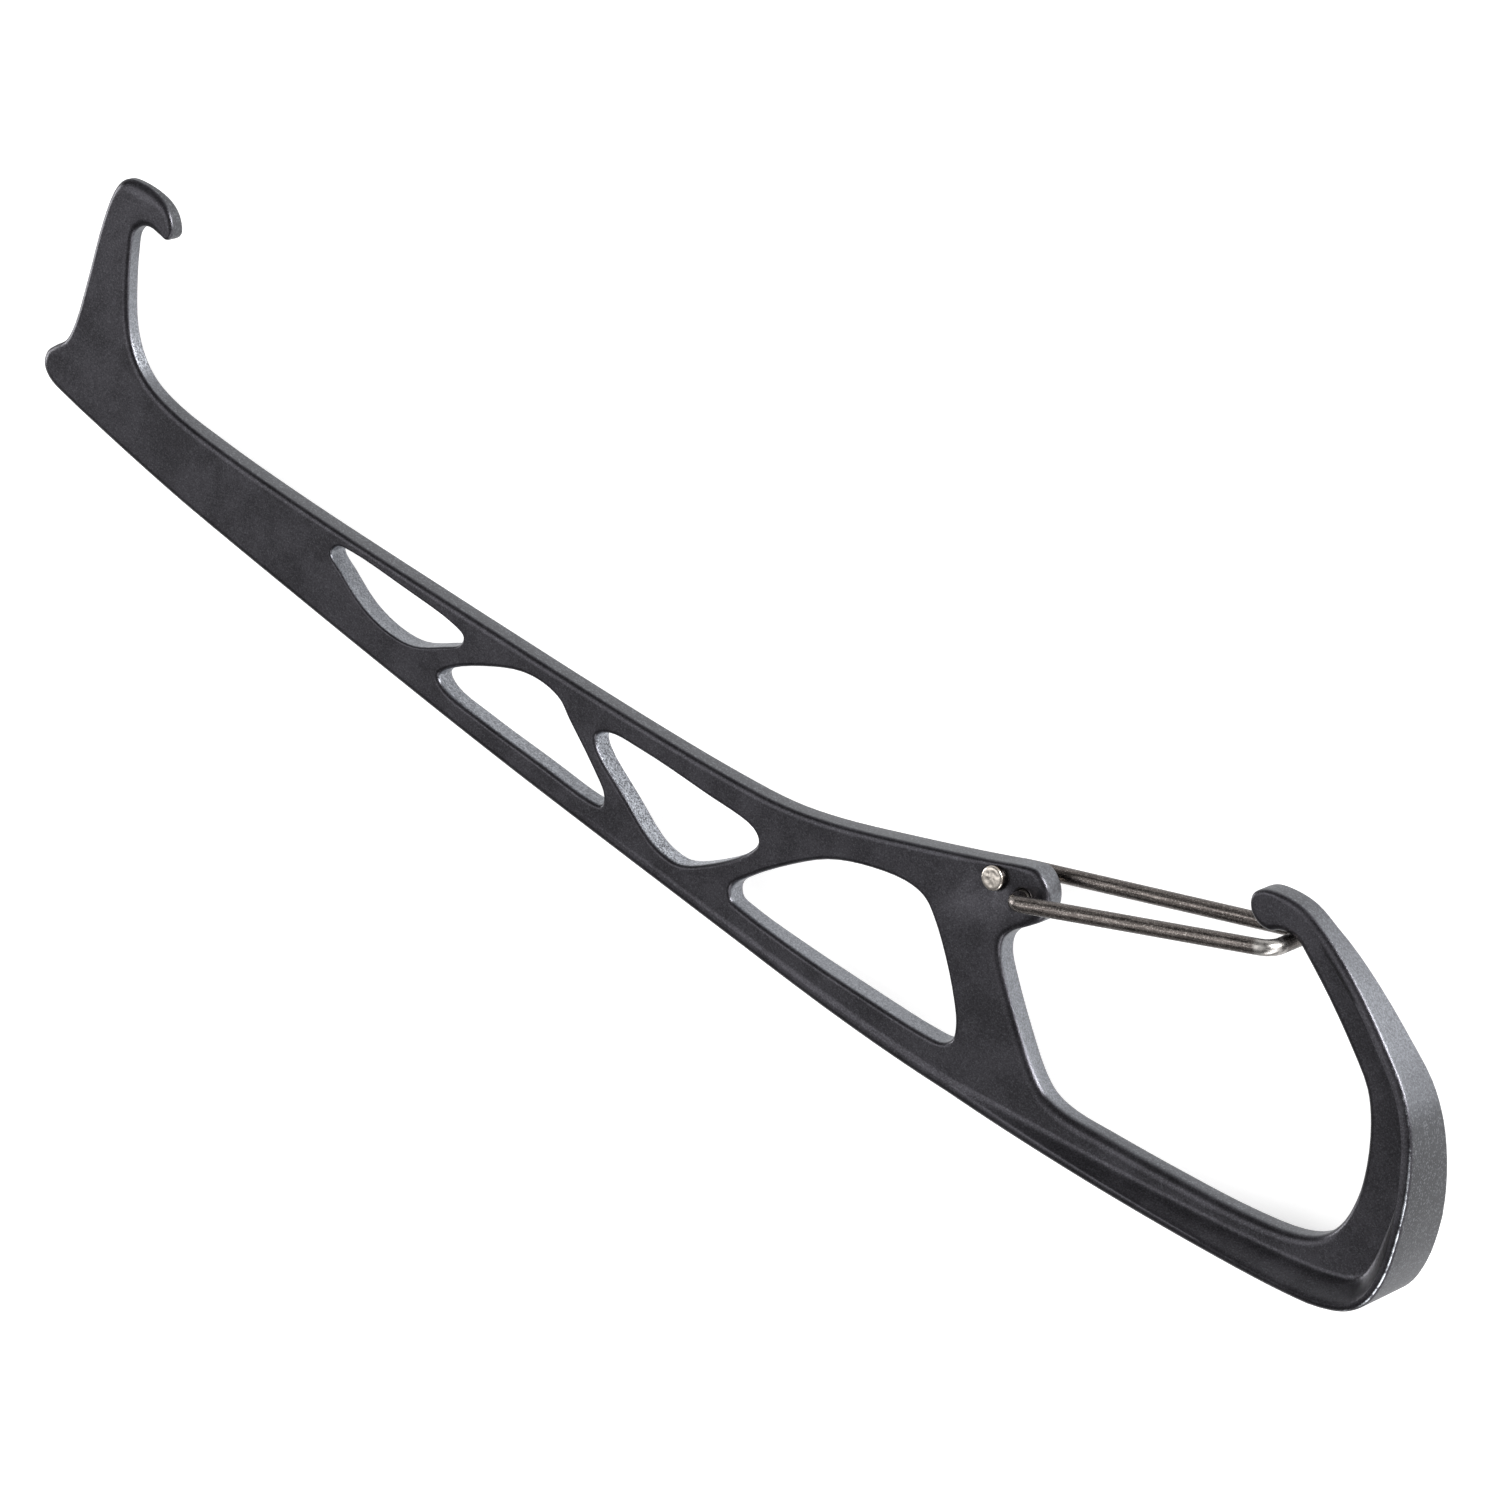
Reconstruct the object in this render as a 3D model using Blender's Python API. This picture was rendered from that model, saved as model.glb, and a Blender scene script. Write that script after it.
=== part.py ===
"""Climber's nut tool: one forged body with a hooked tip, a pierced blade and a
clip-in loop, and one bent wire that closes the loop as a sprung gate.

Run it with: blender --background --python part.py
The tool lies flat. X runs along it from the hook to the loop, Y points from the
straight back to the gate, Z goes up through the thickness.
"""

import math

import bmesh
import bpy
from mathutils import Vector
from mathutils.geometry import delaunay_2d_cdt

MM = 0.001

# Thickness of the forging, in millimetres
HOOK_THICKNESS = 2.4
BLADE_THICKNESS = 3.1
LOOP_THICKNESS = 3.5
RIM_THICKNESS = 10.0
EDGE_RADIUS = 0.4
EDGE_STEPS = 2
HOOK_ENDS_X = -94.0
BLADE_STARTS_X = -78.0
BLADE_ENDS_X = 14.0
LOOP_STARTS_X = 26.0

# Raised rim round the outside of the loop
RIM_LAND = 0.9
RIM_COVE = 2.3
RIM_COVE_STEPS = 4
RIM_RISES_X = 45.0
RIM_FULL_X = 97.0
RIM_RISE_POWER = 1.0
RIM_FALLS_Y = 7.0
RIM_GONE_Y = 32.0
RIM_FALL_POWER = 0.8

# Gate wire
WIRE_RADIUS = 0.95
WIRE_SIDES = 16
LEG_OFFSET = 4.1
WIRE_BEND = 1.6
BEND_STEPS = 6
NEAR_BORE = (45.1, 14.7)
FAR_BORE = (41.0, 15.0)
CROSSBAR = (76.7, 28.05)
BORE_CLEARANCE = 0.08
BORE_SIDES = 24
SEAT_GAP = 0.3
HEAD_RADIUS = 1.45
HEAD_HEIGHT = 0.6

# Outline of the forging in plan, anticlockwise, as points on smooth edges
BACK_EDGE = [
    (-98.7, -1.6), (-84.0, -3.75), (-55.7, -6.6), (-26.6, -9.0), (2.1, -10.65),
    (22.0, -11.6), (37.0, -11.9), (49.5, -11.55), (66.3, -10.35), (82.7, -8.55), (93.5, -6.95),
]
LOOP_END = [
    (98.4, -5.8), (101.5, -4.3), (103.4, -2.0), (104.3, 1.5), (104.2, 5.3), (103.4, 9.6),
    (102.0, 14.0), (100.0, 18.1), (97.2, 21.6), (93.0, 24.8), (88.4, 27.9), (84.0, 30.4),
    (80.6, 31.9),
]
NOSE = [(77.3, 33.0), (74.4, 33.0), (71.9, 32.3), (70.8, 31.0), (71.3, 29.3)]
# Hollow under the nose, from the middle of the crossbar that rests in it
SEAT = [(-3.9, 0.25), (-2.4, 0.25), (-1.3, 0.95), (0.0, 1.3), (1.3, 1.15), (2.5, 0.45)]
LOOP_INSIDE = [
    (83.9, 25.4), (89.0, 21.5), (92.2, 18.6), (94.1, 15.3), (95.6, 10.7), (96.1, 6.5),
    (95.5, 2.6), (93.9, 0.1), (91.0, -1.6), (84.0, -3.15), (74.0, -4.35), (64.5, -5.2),
    (60.0, -5.5), (57.0, -5.1), (54.6, -3.7), (50.8, 0.0), (46.6, 4.7), (45.0, 6.9), (44.6, 8.7),
]
EAR = [
    (45.3, 10.3), (46.8, 11.8), (48.2, 13.4), (48.5, 15.0), (48.0, 16.6), (46.8, 17.9),
    (45.4, 18.5), (43.6, 18.1),
]
TOP_EDGE = [
    (40.6, 16.85), (30.4, 12.9), (19.0, 8.85), (12.4, 7.2), (5.0, 6.35), (-10.0, 5.5),
    (-40.0, 4.7), (-62.0, 4.35), (-76.0, 4.6), (-84.0, 5.25), (-88.2, 6.4),
]
HOOK = [
    (-91.0, 8.3), (-93.2, 11.1), (-95.0, 15.3), (-96.4, 19.9), (-96.8, 22.3), (-96.1, 23.6),
    (-94.9, 24.1), (-93.2, 24.0), (-92.0, 24.0), (-91.5, 24.8), (-91.9, 26.1), (-93.1, 27.4),
    (-94.8, 28.2), (-98.0, 28.4), (-100.3, 27.8), (-101.3, 26.4), (-101.7, 21.6), (-101.3, 14.0),
    (-101.1, 7.6), (-101.6, 5.0),
]
HEEL = [(-102.9, 3.5), (-103.8, 2.2), (-103.7, 0.6), (-102.3, -0.7)]
SEAT_LINE = [(CROSSBAR[0] + x, CROSSBAR[1] + y) for x, y in SEAT]
OUTLINE = BACK_EDGE + LOOP_END + NOSE + SEAT_LINE + LOOP_INSIDE + EAR + TOP_EDGE + HOOK + HEEL

# Windows through the blade, each anticlockwise
WINDOWS = [
    [(-55.9, 1.4), (-53.3, -0.2), (-49.4, -2.2), (-45.2, -3.1), (-41.2, -2.8), (-37.3, -0.7),
     (-35.1, 0.9), (-35.0, 2.0), (-37.0, 2.65), (-45.0, 3.0), (-53.3, 3.05), (-55.4, 2.6)],
    [(-34.9, -5.3), (-29.0, -5.9), (-19.3, -6.3), (-11.6, -6.6), (-10.0, -6.2), (-10.2, -5.0),
     (-12.8, -2.8), (-17.9, 0.7), (-20.0, 2.2), (-22.8, 2.75), (-26.0, 2.4), (-29.9, 0.8),
     (-35.2, -2.5), (-36.4, -4.2)],
    [(-12.8, -0.4), (-6.8, -3.9), (-2.3, -6.4), (0.0, -7.0), (2.4, -6.9), (5.2, -5.3),
     (10.1, -0.8), (11.0, 1.3), (9.8, 2.4), (2.0, 2.7), (-7.2, 2.7), (-12.2, 2.2), (-13.6, 1.0)],
    [(12.4, -7.3), (21.4, -7.6), (30.8, -7.5), (39.2, -7.2), (42.2, -6.7), (43.2, -5.6),
     (42.9, -3.8), (41.6, -1.4), (38.7, 2.6), (35.4, 6.2), (33.4, 7.6), (30.4, 7.9), (24.6, 6.5),
     (20.2, 4.5), (16.2, 1.4), (11.6, -3.1), (9.9, -5.5), (10.4, -6.9)],
]
TURN_PER_STEP = 13.0
LONGEST_STEP = 9.0

# Colours, as linear red, green, blue
ANODISED_GREY = (0.047, 0.046, 0.050)
WIRE_STEEL = (0.36, 0.33, 0.31)
HEAD_STEEL = (0.62, 0.57, 0.52)


def spline_span(p0, p1, p2, p3, count):
    """Points of a centripetal spline from p1 up to, not including, p2."""
    t0 = 0.0
    t1 = t0 + math.sqrt((p1 - p0).length)
    t2 = t1 + math.sqrt((p2 - p1).length)
    t3 = t2 + math.sqrt((p3 - p2).length)
    points = []
    for step in range(count):
        t = t1 + (t2 - t1) * step / count
        a1 = p0.lerp(p1, (t - t0) / (t1 - t0))
        a2 = p1.lerp(p2, (t - t1) / (t2 - t1))
        a3 = p2.lerp(p3, (t - t2) / (t3 - t2))
        b1 = a1.lerp(a2, (t - t0) / (t2 - t0))
        b2 = a2.lerp(a3, (t - t1) / (t3 - t1))
        points.append(b1.lerp(b2, (t - t1) / (t2 - t1)))
    return points


def turn_of(points):
    """Largest turn along a run of points, in degrees."""
    legs = [b - a for a, b in zip(points, points[1:])]
    return math.degrees(sum(abs(a.angle_signed(b)) for a, b in zip(legs, legs[1:])))


def smooth_loop(points):
    """A closed smooth line through the points, finer where it turns."""
    anchors = [Vector(p) for p in points]
    loop = []
    for i, p1 in enumerate(anchors):
        p0, p2, p3 = anchors[i - 1], anchors[(i + 1) % len(anchors)], anchors[(i + 2) % len(anchors)]
        fine = spline_span(p0, p1, p2, p3, 12) + [p2]
        count = max(turn_of(fine) / TURN_PER_STEP, (p2 - p1).length / LONGEST_STEP)
        loop += spline_span(p0, p1, p2, p3, max(1, math.ceil(count)))
    return loop


def circle(centre, radius, sides):
    return [
        Vector((centre[0] + radius * math.cos(math.tau * i / sides),
                centre[1] + radius * math.sin(math.tau * i / sides)))
        for i in range(sides)
    ]


def shifted_loop(loop, distances):
    """Each point moved by its own distance to the left of the way the loop runs."""
    moved = []
    for i, point in enumerate(loop):
        before = (point - loop[i - 1]).normalized()
        after = (loop[(i + 1) % len(loop)] - point).normalized()
        left = Vector((-before.y - after.y, before.x + after.x)).normalized()
        reach = max(0.5, left.dot(Vector((-after.y, after.x))))
        moved.append(point + left * (distances[i] / reach))
    return moved


def inside(point, loop):
    """Whether the point lies inside the closed loop."""
    found = False
    for i, a in enumerate(loop):
        b = loop[i - 1]
        if (a.y > point.y) != (b.y > point.y):
            if point.x < a.x + (b.x - a.x) * (point.y - a.y) / (b.y - a.y):
                found = not found
    return found


def rim_height(loop):
    """Height of the raised rim above the web at each point of the outline."""
    full = (RIM_THICKNESS - LOOP_THICKNESS) / 2
    last = len(BACK_EDGE) + len(LOOP_END)
    arm_end = Vector(OUTLINE[last - 1])
    heights = []
    on_rim = True
    for point in loop:
        if (point - arm_end).length < 0.01:
            on_rim = False
        height = 0.0
        if on_rim and point.x > RIM_RISES_X:
            rise = min(1.0, (point.x - RIM_RISES_X) / (RIM_FULL_X - RIM_RISES_X))
            fall = min(1.0, max(0.0, (point.y - RIM_FALLS_Y) / (RIM_GONE_Y - RIM_FALLS_Y)))
            height = full * rise ** RIM_RISE_POWER * (1 - fall) ** RIM_FALL_POWER
        heights.append(height)
    return heights


def edge_profile():
    """(inset, drop) pairs of the rounded edge, from the wall to the face."""
    return [
        (EDGE_RADIUS * (1 - math.cos(a)), EDGE_RADIUS * (1 - math.sin(a)))
        for a in (math.pi / 2 * step / EDGE_STEPS for step in range(EDGE_STEPS + 1))
    ]


def add_ring(mesh, loop, heights, side, twins=None):
    """Vertices at the loop's points. A point with no height of its own reuses its twin."""
    return [
        mesh.verts.new((p.x, p.y, side * z)) if z is not None else twins[i]
        for i, (p, z) in enumerate(zip(loop, heights))
    ]


def bridge(mesh, lower, upper):
    """Faces between two rings of the same length, leaving out what has collapsed."""
    for i in range(len(lower)):
        corners = []
        for vert in (lower[i - 1], lower[i], upper[i], upper[i - 1]):
            if vert not in corners:
                corners.append(vert)
        if len(corners) > 2:
            mesh.faces.new(corners)


def edge_rings(mesh, loop, side, inward, tops):
    """The rounded edge of one loop on one face, from the wall up."""
    rings = []
    for inset, drop in edge_profile():
        ring = shifted_loop(loop, [inward * inset] * len(loop))
        rings.append(add_ring(mesh, ring, [top - drop for top in tops], side))
    for lower, upper in zip(rings, rings[1:]):
        bridge(mesh, lower, upper)
    return rings[0], rings[-1]


def rim_rings(mesh, loop, side, web, heights, edge_ring):
    """Land and cove of the raised rim, from the edge ring in to the web."""
    full = max(heights)
    ring = edge_ring
    for step in range(RIM_COVE_STEPS + 1):
        t = step / RIM_COVE_STEPS
        reach = [
            RIM_LAND + t * RIM_COVE * math.sqrt(h / full) for h in heights
        ]
        levels = [web + h * (1 - t) ** 2 if h > 0.02 else None for h in heights]
        inner = add_ring(mesh, shifted_loop(loop, reach), levels, side, ring)
        bridge(mesh, ring, inner)
        ring = inner
    return ring


def fill_web(mesh, border, holes):
    """The flat web between the border ring and the rings of the holes."""
    rings = [border] + holes
    verts = [v for ring in rings for v in ring]
    flat = [Vector((v.co.x, v.co.y)) for v in verts]
    edges, start = [], 0
    for ring in rings:
        edges += [(start + i, start + (i + 1) % len(ring)) for i in range(len(ring))]
        start += len(ring)
    points, _, faces, sources, _, _ = delaunay_2d_cdt(flat, edges, [], 1, 1e-7)
    shapes = [[Vector((v.co.x, v.co.y)) for v in ring] for ring in rings]
    for face in faces:
        middle = sum((points[i] for i in face), Vector((0.0, 0.0))) / len(face)
        if inside(middle, shapes[0]) and not any(inside(middle, hole) for hole in shapes[1:]):
            mesh.faces.new([verts[sources[i][0]] for i in face])


def level_at(x):
    """Half the thickness of the web at this place along the tool."""
    stations = [
        (HOOK_ENDS_X, HOOK_THICKNESS), (BLADE_STARTS_X, BLADE_THICKNESS),
        (BLADE_ENDS_X, BLADE_THICKNESS), (LOOP_STARTS_X, LOOP_THICKNESS),
    ]
    if x <= stations[0][0]:
        return stations[0][1] / 2
    for (x0, t0), (x1, t1) in zip(stations, stations[1:]):
        if x <= x1:
            return (t0 + (t1 - t0) * (x - x0) / (x1 - x0)) / 2
    return stations[-1][1] / 2


def taper(mesh):
    """Thins the forging towards the hook, with a straight break at each station."""
    for x in (HOOK_ENDS_X, BLADE_STARTS_X, BLADE_ENDS_X, LOOP_STARTS_X):
        everything = mesh.verts[:] + mesh.edges[:] + mesh.faces[:]
        bmesh.ops.bisect_plane(mesh, geom=everything, plane_co=(x, 0, 0), plane_no=(1, 0, 0), dist=1e-5)
    web = LOOP_THICKNESS / 2
    for vert in mesh.verts:
        thinner = web - level_at(vert.co.x)
        if thinner > 0:
            inner = web - EDGE_RADIUS
            z = vert.co.z
            vert.co.z = math.copysign(max(0.0, abs(z) - thinner * min(1.0, abs(z) / inner)), z)


def finish(mesh, name, origin, colour, roughness, metallic):
    """Makes the object from a mesh in millimetres, with its origin moved to a point."""
    bmesh.ops.recalc_face_normals(mesh, faces=mesh.faces[:])
    bmesh.ops.triangulate(mesh, faces=[f for f in mesh.faces if len(f.verts) > 4])
    for face in mesh.faces:
        face.smooth = True
    for edge in mesh.edges:
        edge.smooth = len(edge.link_faces) == 2 and edge.calc_face_angle() < math.radians(35)
    for vert in mesh.verts:
        vert.co = (vert.co - Vector(origin)) * MM
    data = bpy.data.meshes.new(name)
    mesh.to_mesh(data)
    mesh.free()
    obj = bpy.data.objects.new(name, data)
    obj.location = (Vector(origin) - FRAME_ORIGIN) * MM
    bpy.context.scene.collection.objects.link(obj)
    material = bpy.data.materials.new(name)
    material.use_nodes = True
    shader = material.node_tree.nodes["Principled BSDF"]
    shader.inputs["Base Color"].default_value = (*colour, 1.0)
    shader.inputs["Roughness"].default_value = roughness
    shader.inputs["Metallic"].default_value = metallic
    data.materials.append(material)
    return obj


def forged_body():
    """The whole forging: blade, hook, heel, ear, loop and nose."""
    mesh = bmesh.new()
    outline = smooth_loop(OUTLINE)
    holes = [smooth_loop(window) for window in WINDOWS]
    holes += [circle(c, WIRE_RADIUS + BORE_CLEARANCE, BORE_SIDES) for c in (NEAR_BORE, FAR_BORE)]
    heights = rim_height(outline)
    web = LOOP_THICKNESS / 2
    walls = []
    for side in (1, -1):
        wall, face_ring = edge_rings(mesh, outline, side, 1, [web + h for h in heights])
        border = list(dict.fromkeys(rim_rings(mesh, outline, side, web, heights, face_ring)))
        starts, rings = [wall], []
        for i, hole in enumerate(holes):
            if i < len(WINDOWS):
                wall, face_ring = edge_rings(mesh, hole, side, -1, [web] * len(hole))
            else:
                wall = face_ring = add_ring(mesh, hole, [web] * len(hole), side)
            starts.append(wall)
            rings.append(face_ring)
        fill_web(mesh, border, rings)
        walls.append(starts)
    for upper, lower in zip(*walls):
        bridge(mesh, upper, lower)
    taper(mesh)
    return finish(mesh, "forged_body", (0, 0, 0), ANODISED_GREY, 0.45, 0.65)


def bend(start, turn_from, turn_to):
    """Points of a quarter turn of the wire from one direction to another."""
    points = []
    for step in range(BEND_STEPS + 1):
        angle = math.pi / 2 * step / BEND_STEPS
        along = turn_from * (WIRE_BEND * math.sin(angle))
        across = turn_to * (WIRE_BEND * (1 - math.cos(angle)))
        points.append(start + along + across)
    return points


def leg_path(bore, side):
    """Centre line of one leg, from above its bore to the middle of the crossbar."""
    up = Vector((0, 0, side))
    foot = Vector((*bore, 0))
    corner = Vector((*CROSSBAR, 0))
    ahead = (corner - foot).normalized()
    stub = foot + up * (LOOP_THICKNESS / 2 + 2 * SEAT_GAP)
    path = [stub]
    path += bend(foot + up * (LEG_OFFSET - WIRE_BEND), up, ahead)
    path += bend(corner + up * LEG_OFFSET - ahead * WIRE_BEND, ahead, -up)
    return path


def sweep(mesh, path, radius, sides):
    """A round bar along the path, closed at both ends."""
    tangents = []
    for i in range(len(path)):
        a, b = path[max(0, i - 1)], path[min(len(path) - 1, i + 1)]
        tangents.append((b - a).normalized())
    across = tangents[0].orthogonal().normalized()
    rings = []
    for point, tangent in zip(path, tangents):
        across = (across - tangent * across.dot(tangent)).normalized()
        third = tangent.cross(across)
        rings.append([
            mesh.verts.new(point + radius * (across * math.cos(a) + third * math.sin(a)))
            for a in (math.tau * i / sides for i in range(sides))
        ])
    for lower, upper in zip(rings, rings[1:]):
        bridge(mesh, lower, upper)
    mesh.faces.new(rings[0])
    mesh.faces.new(rings[-1])


def gate_wire():
    """Both legs and the crossbar, which closes the loop under the nose."""
    mesh = bmesh.new()
    path = leg_path(NEAR_BORE, 1) + leg_path(FAR_BORE, -1)[::-1]
    sweep(mesh, path, WIRE_RADIUS, WIRE_SIDES)
    hinge = ((NEAR_BORE[0] + FAR_BORE[0]) / 2, (NEAR_BORE[1] + FAR_BORE[1]) / 2, 0)
    return finish(mesh, "gate_wire", hinge, WIRE_STEEL, 0.32, 1.0)


def turned(mesh, profile, sides):
    """A solid of revolution about Z from (radius, height) pairs that end on the axis."""
    rings = [
        [mesh.verts.new((r * math.cos(math.tau * i / sides), r * math.sin(math.tau * i / sides), z))
         for i in range(sides)]
        for r, z in profile
    ]
    for lower, upper in zip(rings, rings[1:]):
        bridge(mesh, lower, upper)
    mesh.faces.new(rings[0])
    mesh.faces.new(rings[-1])


def gate_tail(name, bore, side):
    """The wire's end in its bore, with the head peened over on the other face."""
    mesh = bmesh.new()
    face = LOOP_THICKNESS / 2
    under = -face - SEAT_GAP
    profile = [(WIRE_RADIUS, face + SEAT_GAP), (WIRE_RADIUS, under), (HEAD_RADIUS - 0.15, under)]
    for step in range(5):
        angle = math.pi / 2 * step / 4
        profile.append((
            HEAD_RADIUS - 0.45 * (1 - math.cos(angle)),
            under - 0.15 - (HEAD_HEIGHT - 0.15) * math.sin(angle),
        ))
    turned(mesh, profile, BORE_SIDES)
    for vert in mesh.verts:
        vert.co = Vector((vert.co.x + bore[0], vert.co.y + bore[1], side * vert.co.z))
    return finish(mesh, name, (*bore, 0), HEAD_STEEL, 0.35, 1.0)


def frame_origin():
    """Middle of the plan and the lowest point, which is the under side of the gate."""
    loop = smooth_loop(OUTLINE)
    xs, ys = [p.x for p in loop], [p.y for p in loop]
    lowest = -(LEG_OFFSET + WIRE_RADIUS)
    return Vector(((min(xs) + max(xs)) / 2, (min(ys) + max(ys)) / 2, lowest))


for leftover in list(bpy.data.objects):
    bpy.data.objects.remove(leftover, do_unlink=True)
FRAME_ORIGIN = frame_origin()
forged_body()
gate_wire()
gate_tail("gate_tail_near", NEAR_BORE, 1)
gate_tail("gate_tail_far", FAR_BORE, -1)
print("frame origin, mm:", [round(v, 3) for v in FRAME_ORIGIN])
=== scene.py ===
"""Climber's nut tool, finished: a blasted and anodised forging, a gate bent from
drawn wire, and the wire's two peened ends in their bores.

The file is laid out as an add-on. Run as a script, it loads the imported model,
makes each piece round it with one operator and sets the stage.
Pieces are drawn in millimetres, in the forging's own drawing axes, and are
brought into the frame, in metres, when they are finished.
"""

import math

import bmesh
import bpy
import numpy as np
from bpy.props import FloatProperty, FloatVectorProperty, PointerProperty
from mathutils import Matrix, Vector
from mathutils.geometry import delaunay_2d_cdt


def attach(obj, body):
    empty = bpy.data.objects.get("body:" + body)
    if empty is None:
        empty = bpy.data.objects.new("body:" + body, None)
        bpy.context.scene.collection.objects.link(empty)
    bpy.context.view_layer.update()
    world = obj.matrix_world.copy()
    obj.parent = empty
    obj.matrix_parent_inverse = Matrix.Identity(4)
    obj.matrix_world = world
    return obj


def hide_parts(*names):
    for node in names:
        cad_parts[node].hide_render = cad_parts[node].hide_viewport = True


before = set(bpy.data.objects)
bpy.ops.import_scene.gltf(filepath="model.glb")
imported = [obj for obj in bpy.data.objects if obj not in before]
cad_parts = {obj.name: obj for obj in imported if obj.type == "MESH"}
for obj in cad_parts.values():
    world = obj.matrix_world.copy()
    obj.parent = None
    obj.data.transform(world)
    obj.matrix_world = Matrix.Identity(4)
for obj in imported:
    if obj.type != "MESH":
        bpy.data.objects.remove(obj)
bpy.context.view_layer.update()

bl_info = {
    "name": "Nut tool",
    "version": (1, 0, 0),
    "blender": (4, 5, 0),
    "location": "3D View > Sidebar > Nut tool",
    "description": "Builds a climber's nut tool with a wire gate, and the stage it is seen on",
    "category": "Add Mesh",
}

MM = 0.001

# Frame origin in the drawing axes, in millimetres
DRAWING_TO_FRAME = Vector((0.208, 10.604, -5.05))

# Thickness of the web along the tool, as (place along X, thickness)
THICKNESS_STATIONS = [(-94.0, 2.4), (-78.0, 3.1), (14.0, 3.1), (26.0, 3.5)]
LOOP_THICKNESS = 3.5
RIM_THICKNESS = 10.0

# Height of the web's face round the loop, above the middle of the thickness
WEB = LOOP_THICKNESS / 2

# Where the raised rim comes up from the web and dies away again, and the low step
# before it
RIM_RISES_X, RIM_FULL_X, RIM_RISE_POWER = 45.0, 97.0, 1.0
RIM_FALLS_Y, RIM_GONE_Y, RIM_FALL_POWER = 7.0, 32.0, 0.8
STEP_STARTS_X, STEP_FULL_X, STEP_HEIGHT = -20.0, 45.0, 0.2

# Gate wire: its bores and crossbar in plan, the height of its legs above the middle
# of the thickness, the radius of its bends, the height where it starts, and the
# steps round a bend, along a leg and round the wire
NEAR_BORE = (45.1, 14.7)
FAR_BORE = (41.0, 15.0)
CROSSBAR = (76.7, 28.05)
LEG_OFFSET = 4.1
WIRE_BEND = 1.6
STUB_FOOT = 2.1
BEND_STEPS, LEG_STEPS, WIRE_SIDES = 10, 12, 32

# Gap between wire and bore, and between the forging's faces and the wire's ends
BORE_CLEARANCE = 0.08
TAIL_GAP = 0.3

# Outline of the forging in plan, anticlockwise, as points on smooth edges
BACK_EDGE = [
    (-98.7, -1.6), (-84.0, -3.75), (-55.7, -6.6), (-26.6, -9.0), (2.1, -10.65),
    (22.0, -11.6), (37.0, -11.9), (49.5, -11.55), (66.3, -10.35), (82.7, -8.55), (93.5, -6.95),
]
LOOP_END = [
    (98.4, -5.8), (101.5, -4.3), (103.4, -2.0), (104.23, 1.5), (104.13, 5.3), (103.4, 9.6),
    (102.0, 14.0), (100.0, 18.1), (97.2, 21.6), (93.0, 24.8), (88.4, 27.9), (84.0, 30.4),
    (80.6, 31.9),
]
NOSE = [(77.3, 33.0), (74.4, 33.0), (71.9, 32.3), (70.8, 31.0), (71.3, 29.3)]
SEAT = [(-3.9, 0.25), (-2.4, 0.25), (-1.3, 0.95), (0.0, 1.3), (1.3, 1.15), (2.5, 0.45)]
LOOP_INSIDE = [
    (83.9, 25.4), (89.0, 21.5), (92.2, 18.6), (94.1, 15.3), (95.6, 10.7), (96.1, 6.5),
    (95.5, 2.6), (93.9, 0.1), (91.0, -1.6), (84.0, -3.15), (74.0, -4.35), (64.5, -5.2),
    (60.0, -5.5), (57.0, -5.1), (54.6, -3.7), (50.8, 0.0), (46.6, 4.7), (45.0, 6.9), (44.6, 8.7),
]
EAR = [
    (45.3, 10.3), (46.8, 11.8), (48.2, 13.4), (48.5, 15.0), (48.0, 16.6), (46.8, 17.9),
    (45.4, 18.5), (43.6, 18.1),
]
TOP_EDGE = [
    (40.6, 16.85), (30.4, 12.9), (19.0, 8.85), (12.4, 7.2), (5.0, 6.35), (-10.0, 5.5),
    (-40.0, 4.7), (-62.0, 4.35), (-76.0, 4.6), (-84.0, 5.25), (-88.2, 6.4),
]
HOOK = [
    (-91.0, 8.3), (-93.2, 11.1), (-95.0, 15.3), (-96.4, 19.9), (-96.8, 22.3), (-96.1, 23.6),
    (-94.9, 24.1), (-93.2, 24.0), (-92.0, 24.0), (-91.5, 24.8), (-91.9, 26.1), (-93.1, 27.4),
    (-94.8, 28.2), (-98.0, 28.4), (-100.3, 27.8), (-101.3, 26.4), (-101.7, 21.6), (-101.3, 14.0),
    (-101.1, 7.6), (-101.6, 5.0),
]
HEEL = [(-102.9, 3.5), (-103.8, 2.2), (-103.7, 0.6), (-102.3, -0.7)]
SEAT_LINE = [(CROSSBAR[0] + x, CROSSBAR[1] + y) for x, y in SEAT]
OUTLINE = BACK_EDGE + LOOP_END + NOSE + SEAT_LINE + LOOP_INSIDE + EAR + TOP_EDGE + HOOK + HEEL

# How silvery and deeply grained the wall is at each point of the outline: mostly
# painted reflection, set for how much light each stretch of wall catches, partly the real blasted
# finish
WALL_SHEEN_AND_GRAIN = (
    [0.07] * len(BACK_EDGE)
    + [0.12, 0.12, 0.1, 0.08, 0.03, 0.0, 0.0, 0.05, 0.33, 0.5, 0.5, 0.4, 0.3]
    + [0.15] * len(NOSE) + [0.2] * len(SEAT_LINE)
    + [0.13] * 7 + [0.17] * 5 + [0.33] + [0.5] * 6
    + [0.23] * len(EAR) + [0.11] * (len(TOP_EDGE) - 1) + [0.3]
    + [1.0, 0.58, 0.45, 0.38, 0.34, 0.3, 0.3] + [0.07] * (len(HOOK) - 7) + [0.07] * len(HEEL)
)

# Painted highlight and wear along the rounded edge at each point of the outline: a
# bright line broken by chips of wear, strongest along the end of the loop
EDGE_WEAR_AND_HIGHLIGHT = (
    [0.6] * (len(BACK_EDGE) - 1) + [0.8]
    + [1.1, 1.25, 1.35, 1.4, 1.4, 1.4, 1.35, 1.3, 1.25, 1.2, 1.15, 1.1, 1.0]
    + [0.8] * len(NOSE) + [0.5] * len(SEAT_LINE) + [0.6] * len(LOOP_INSIDE)
    + [0.7] * len(EAR) + [0.6] * len(TOP_EDGE + HOOK + HEEL)
)

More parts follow.
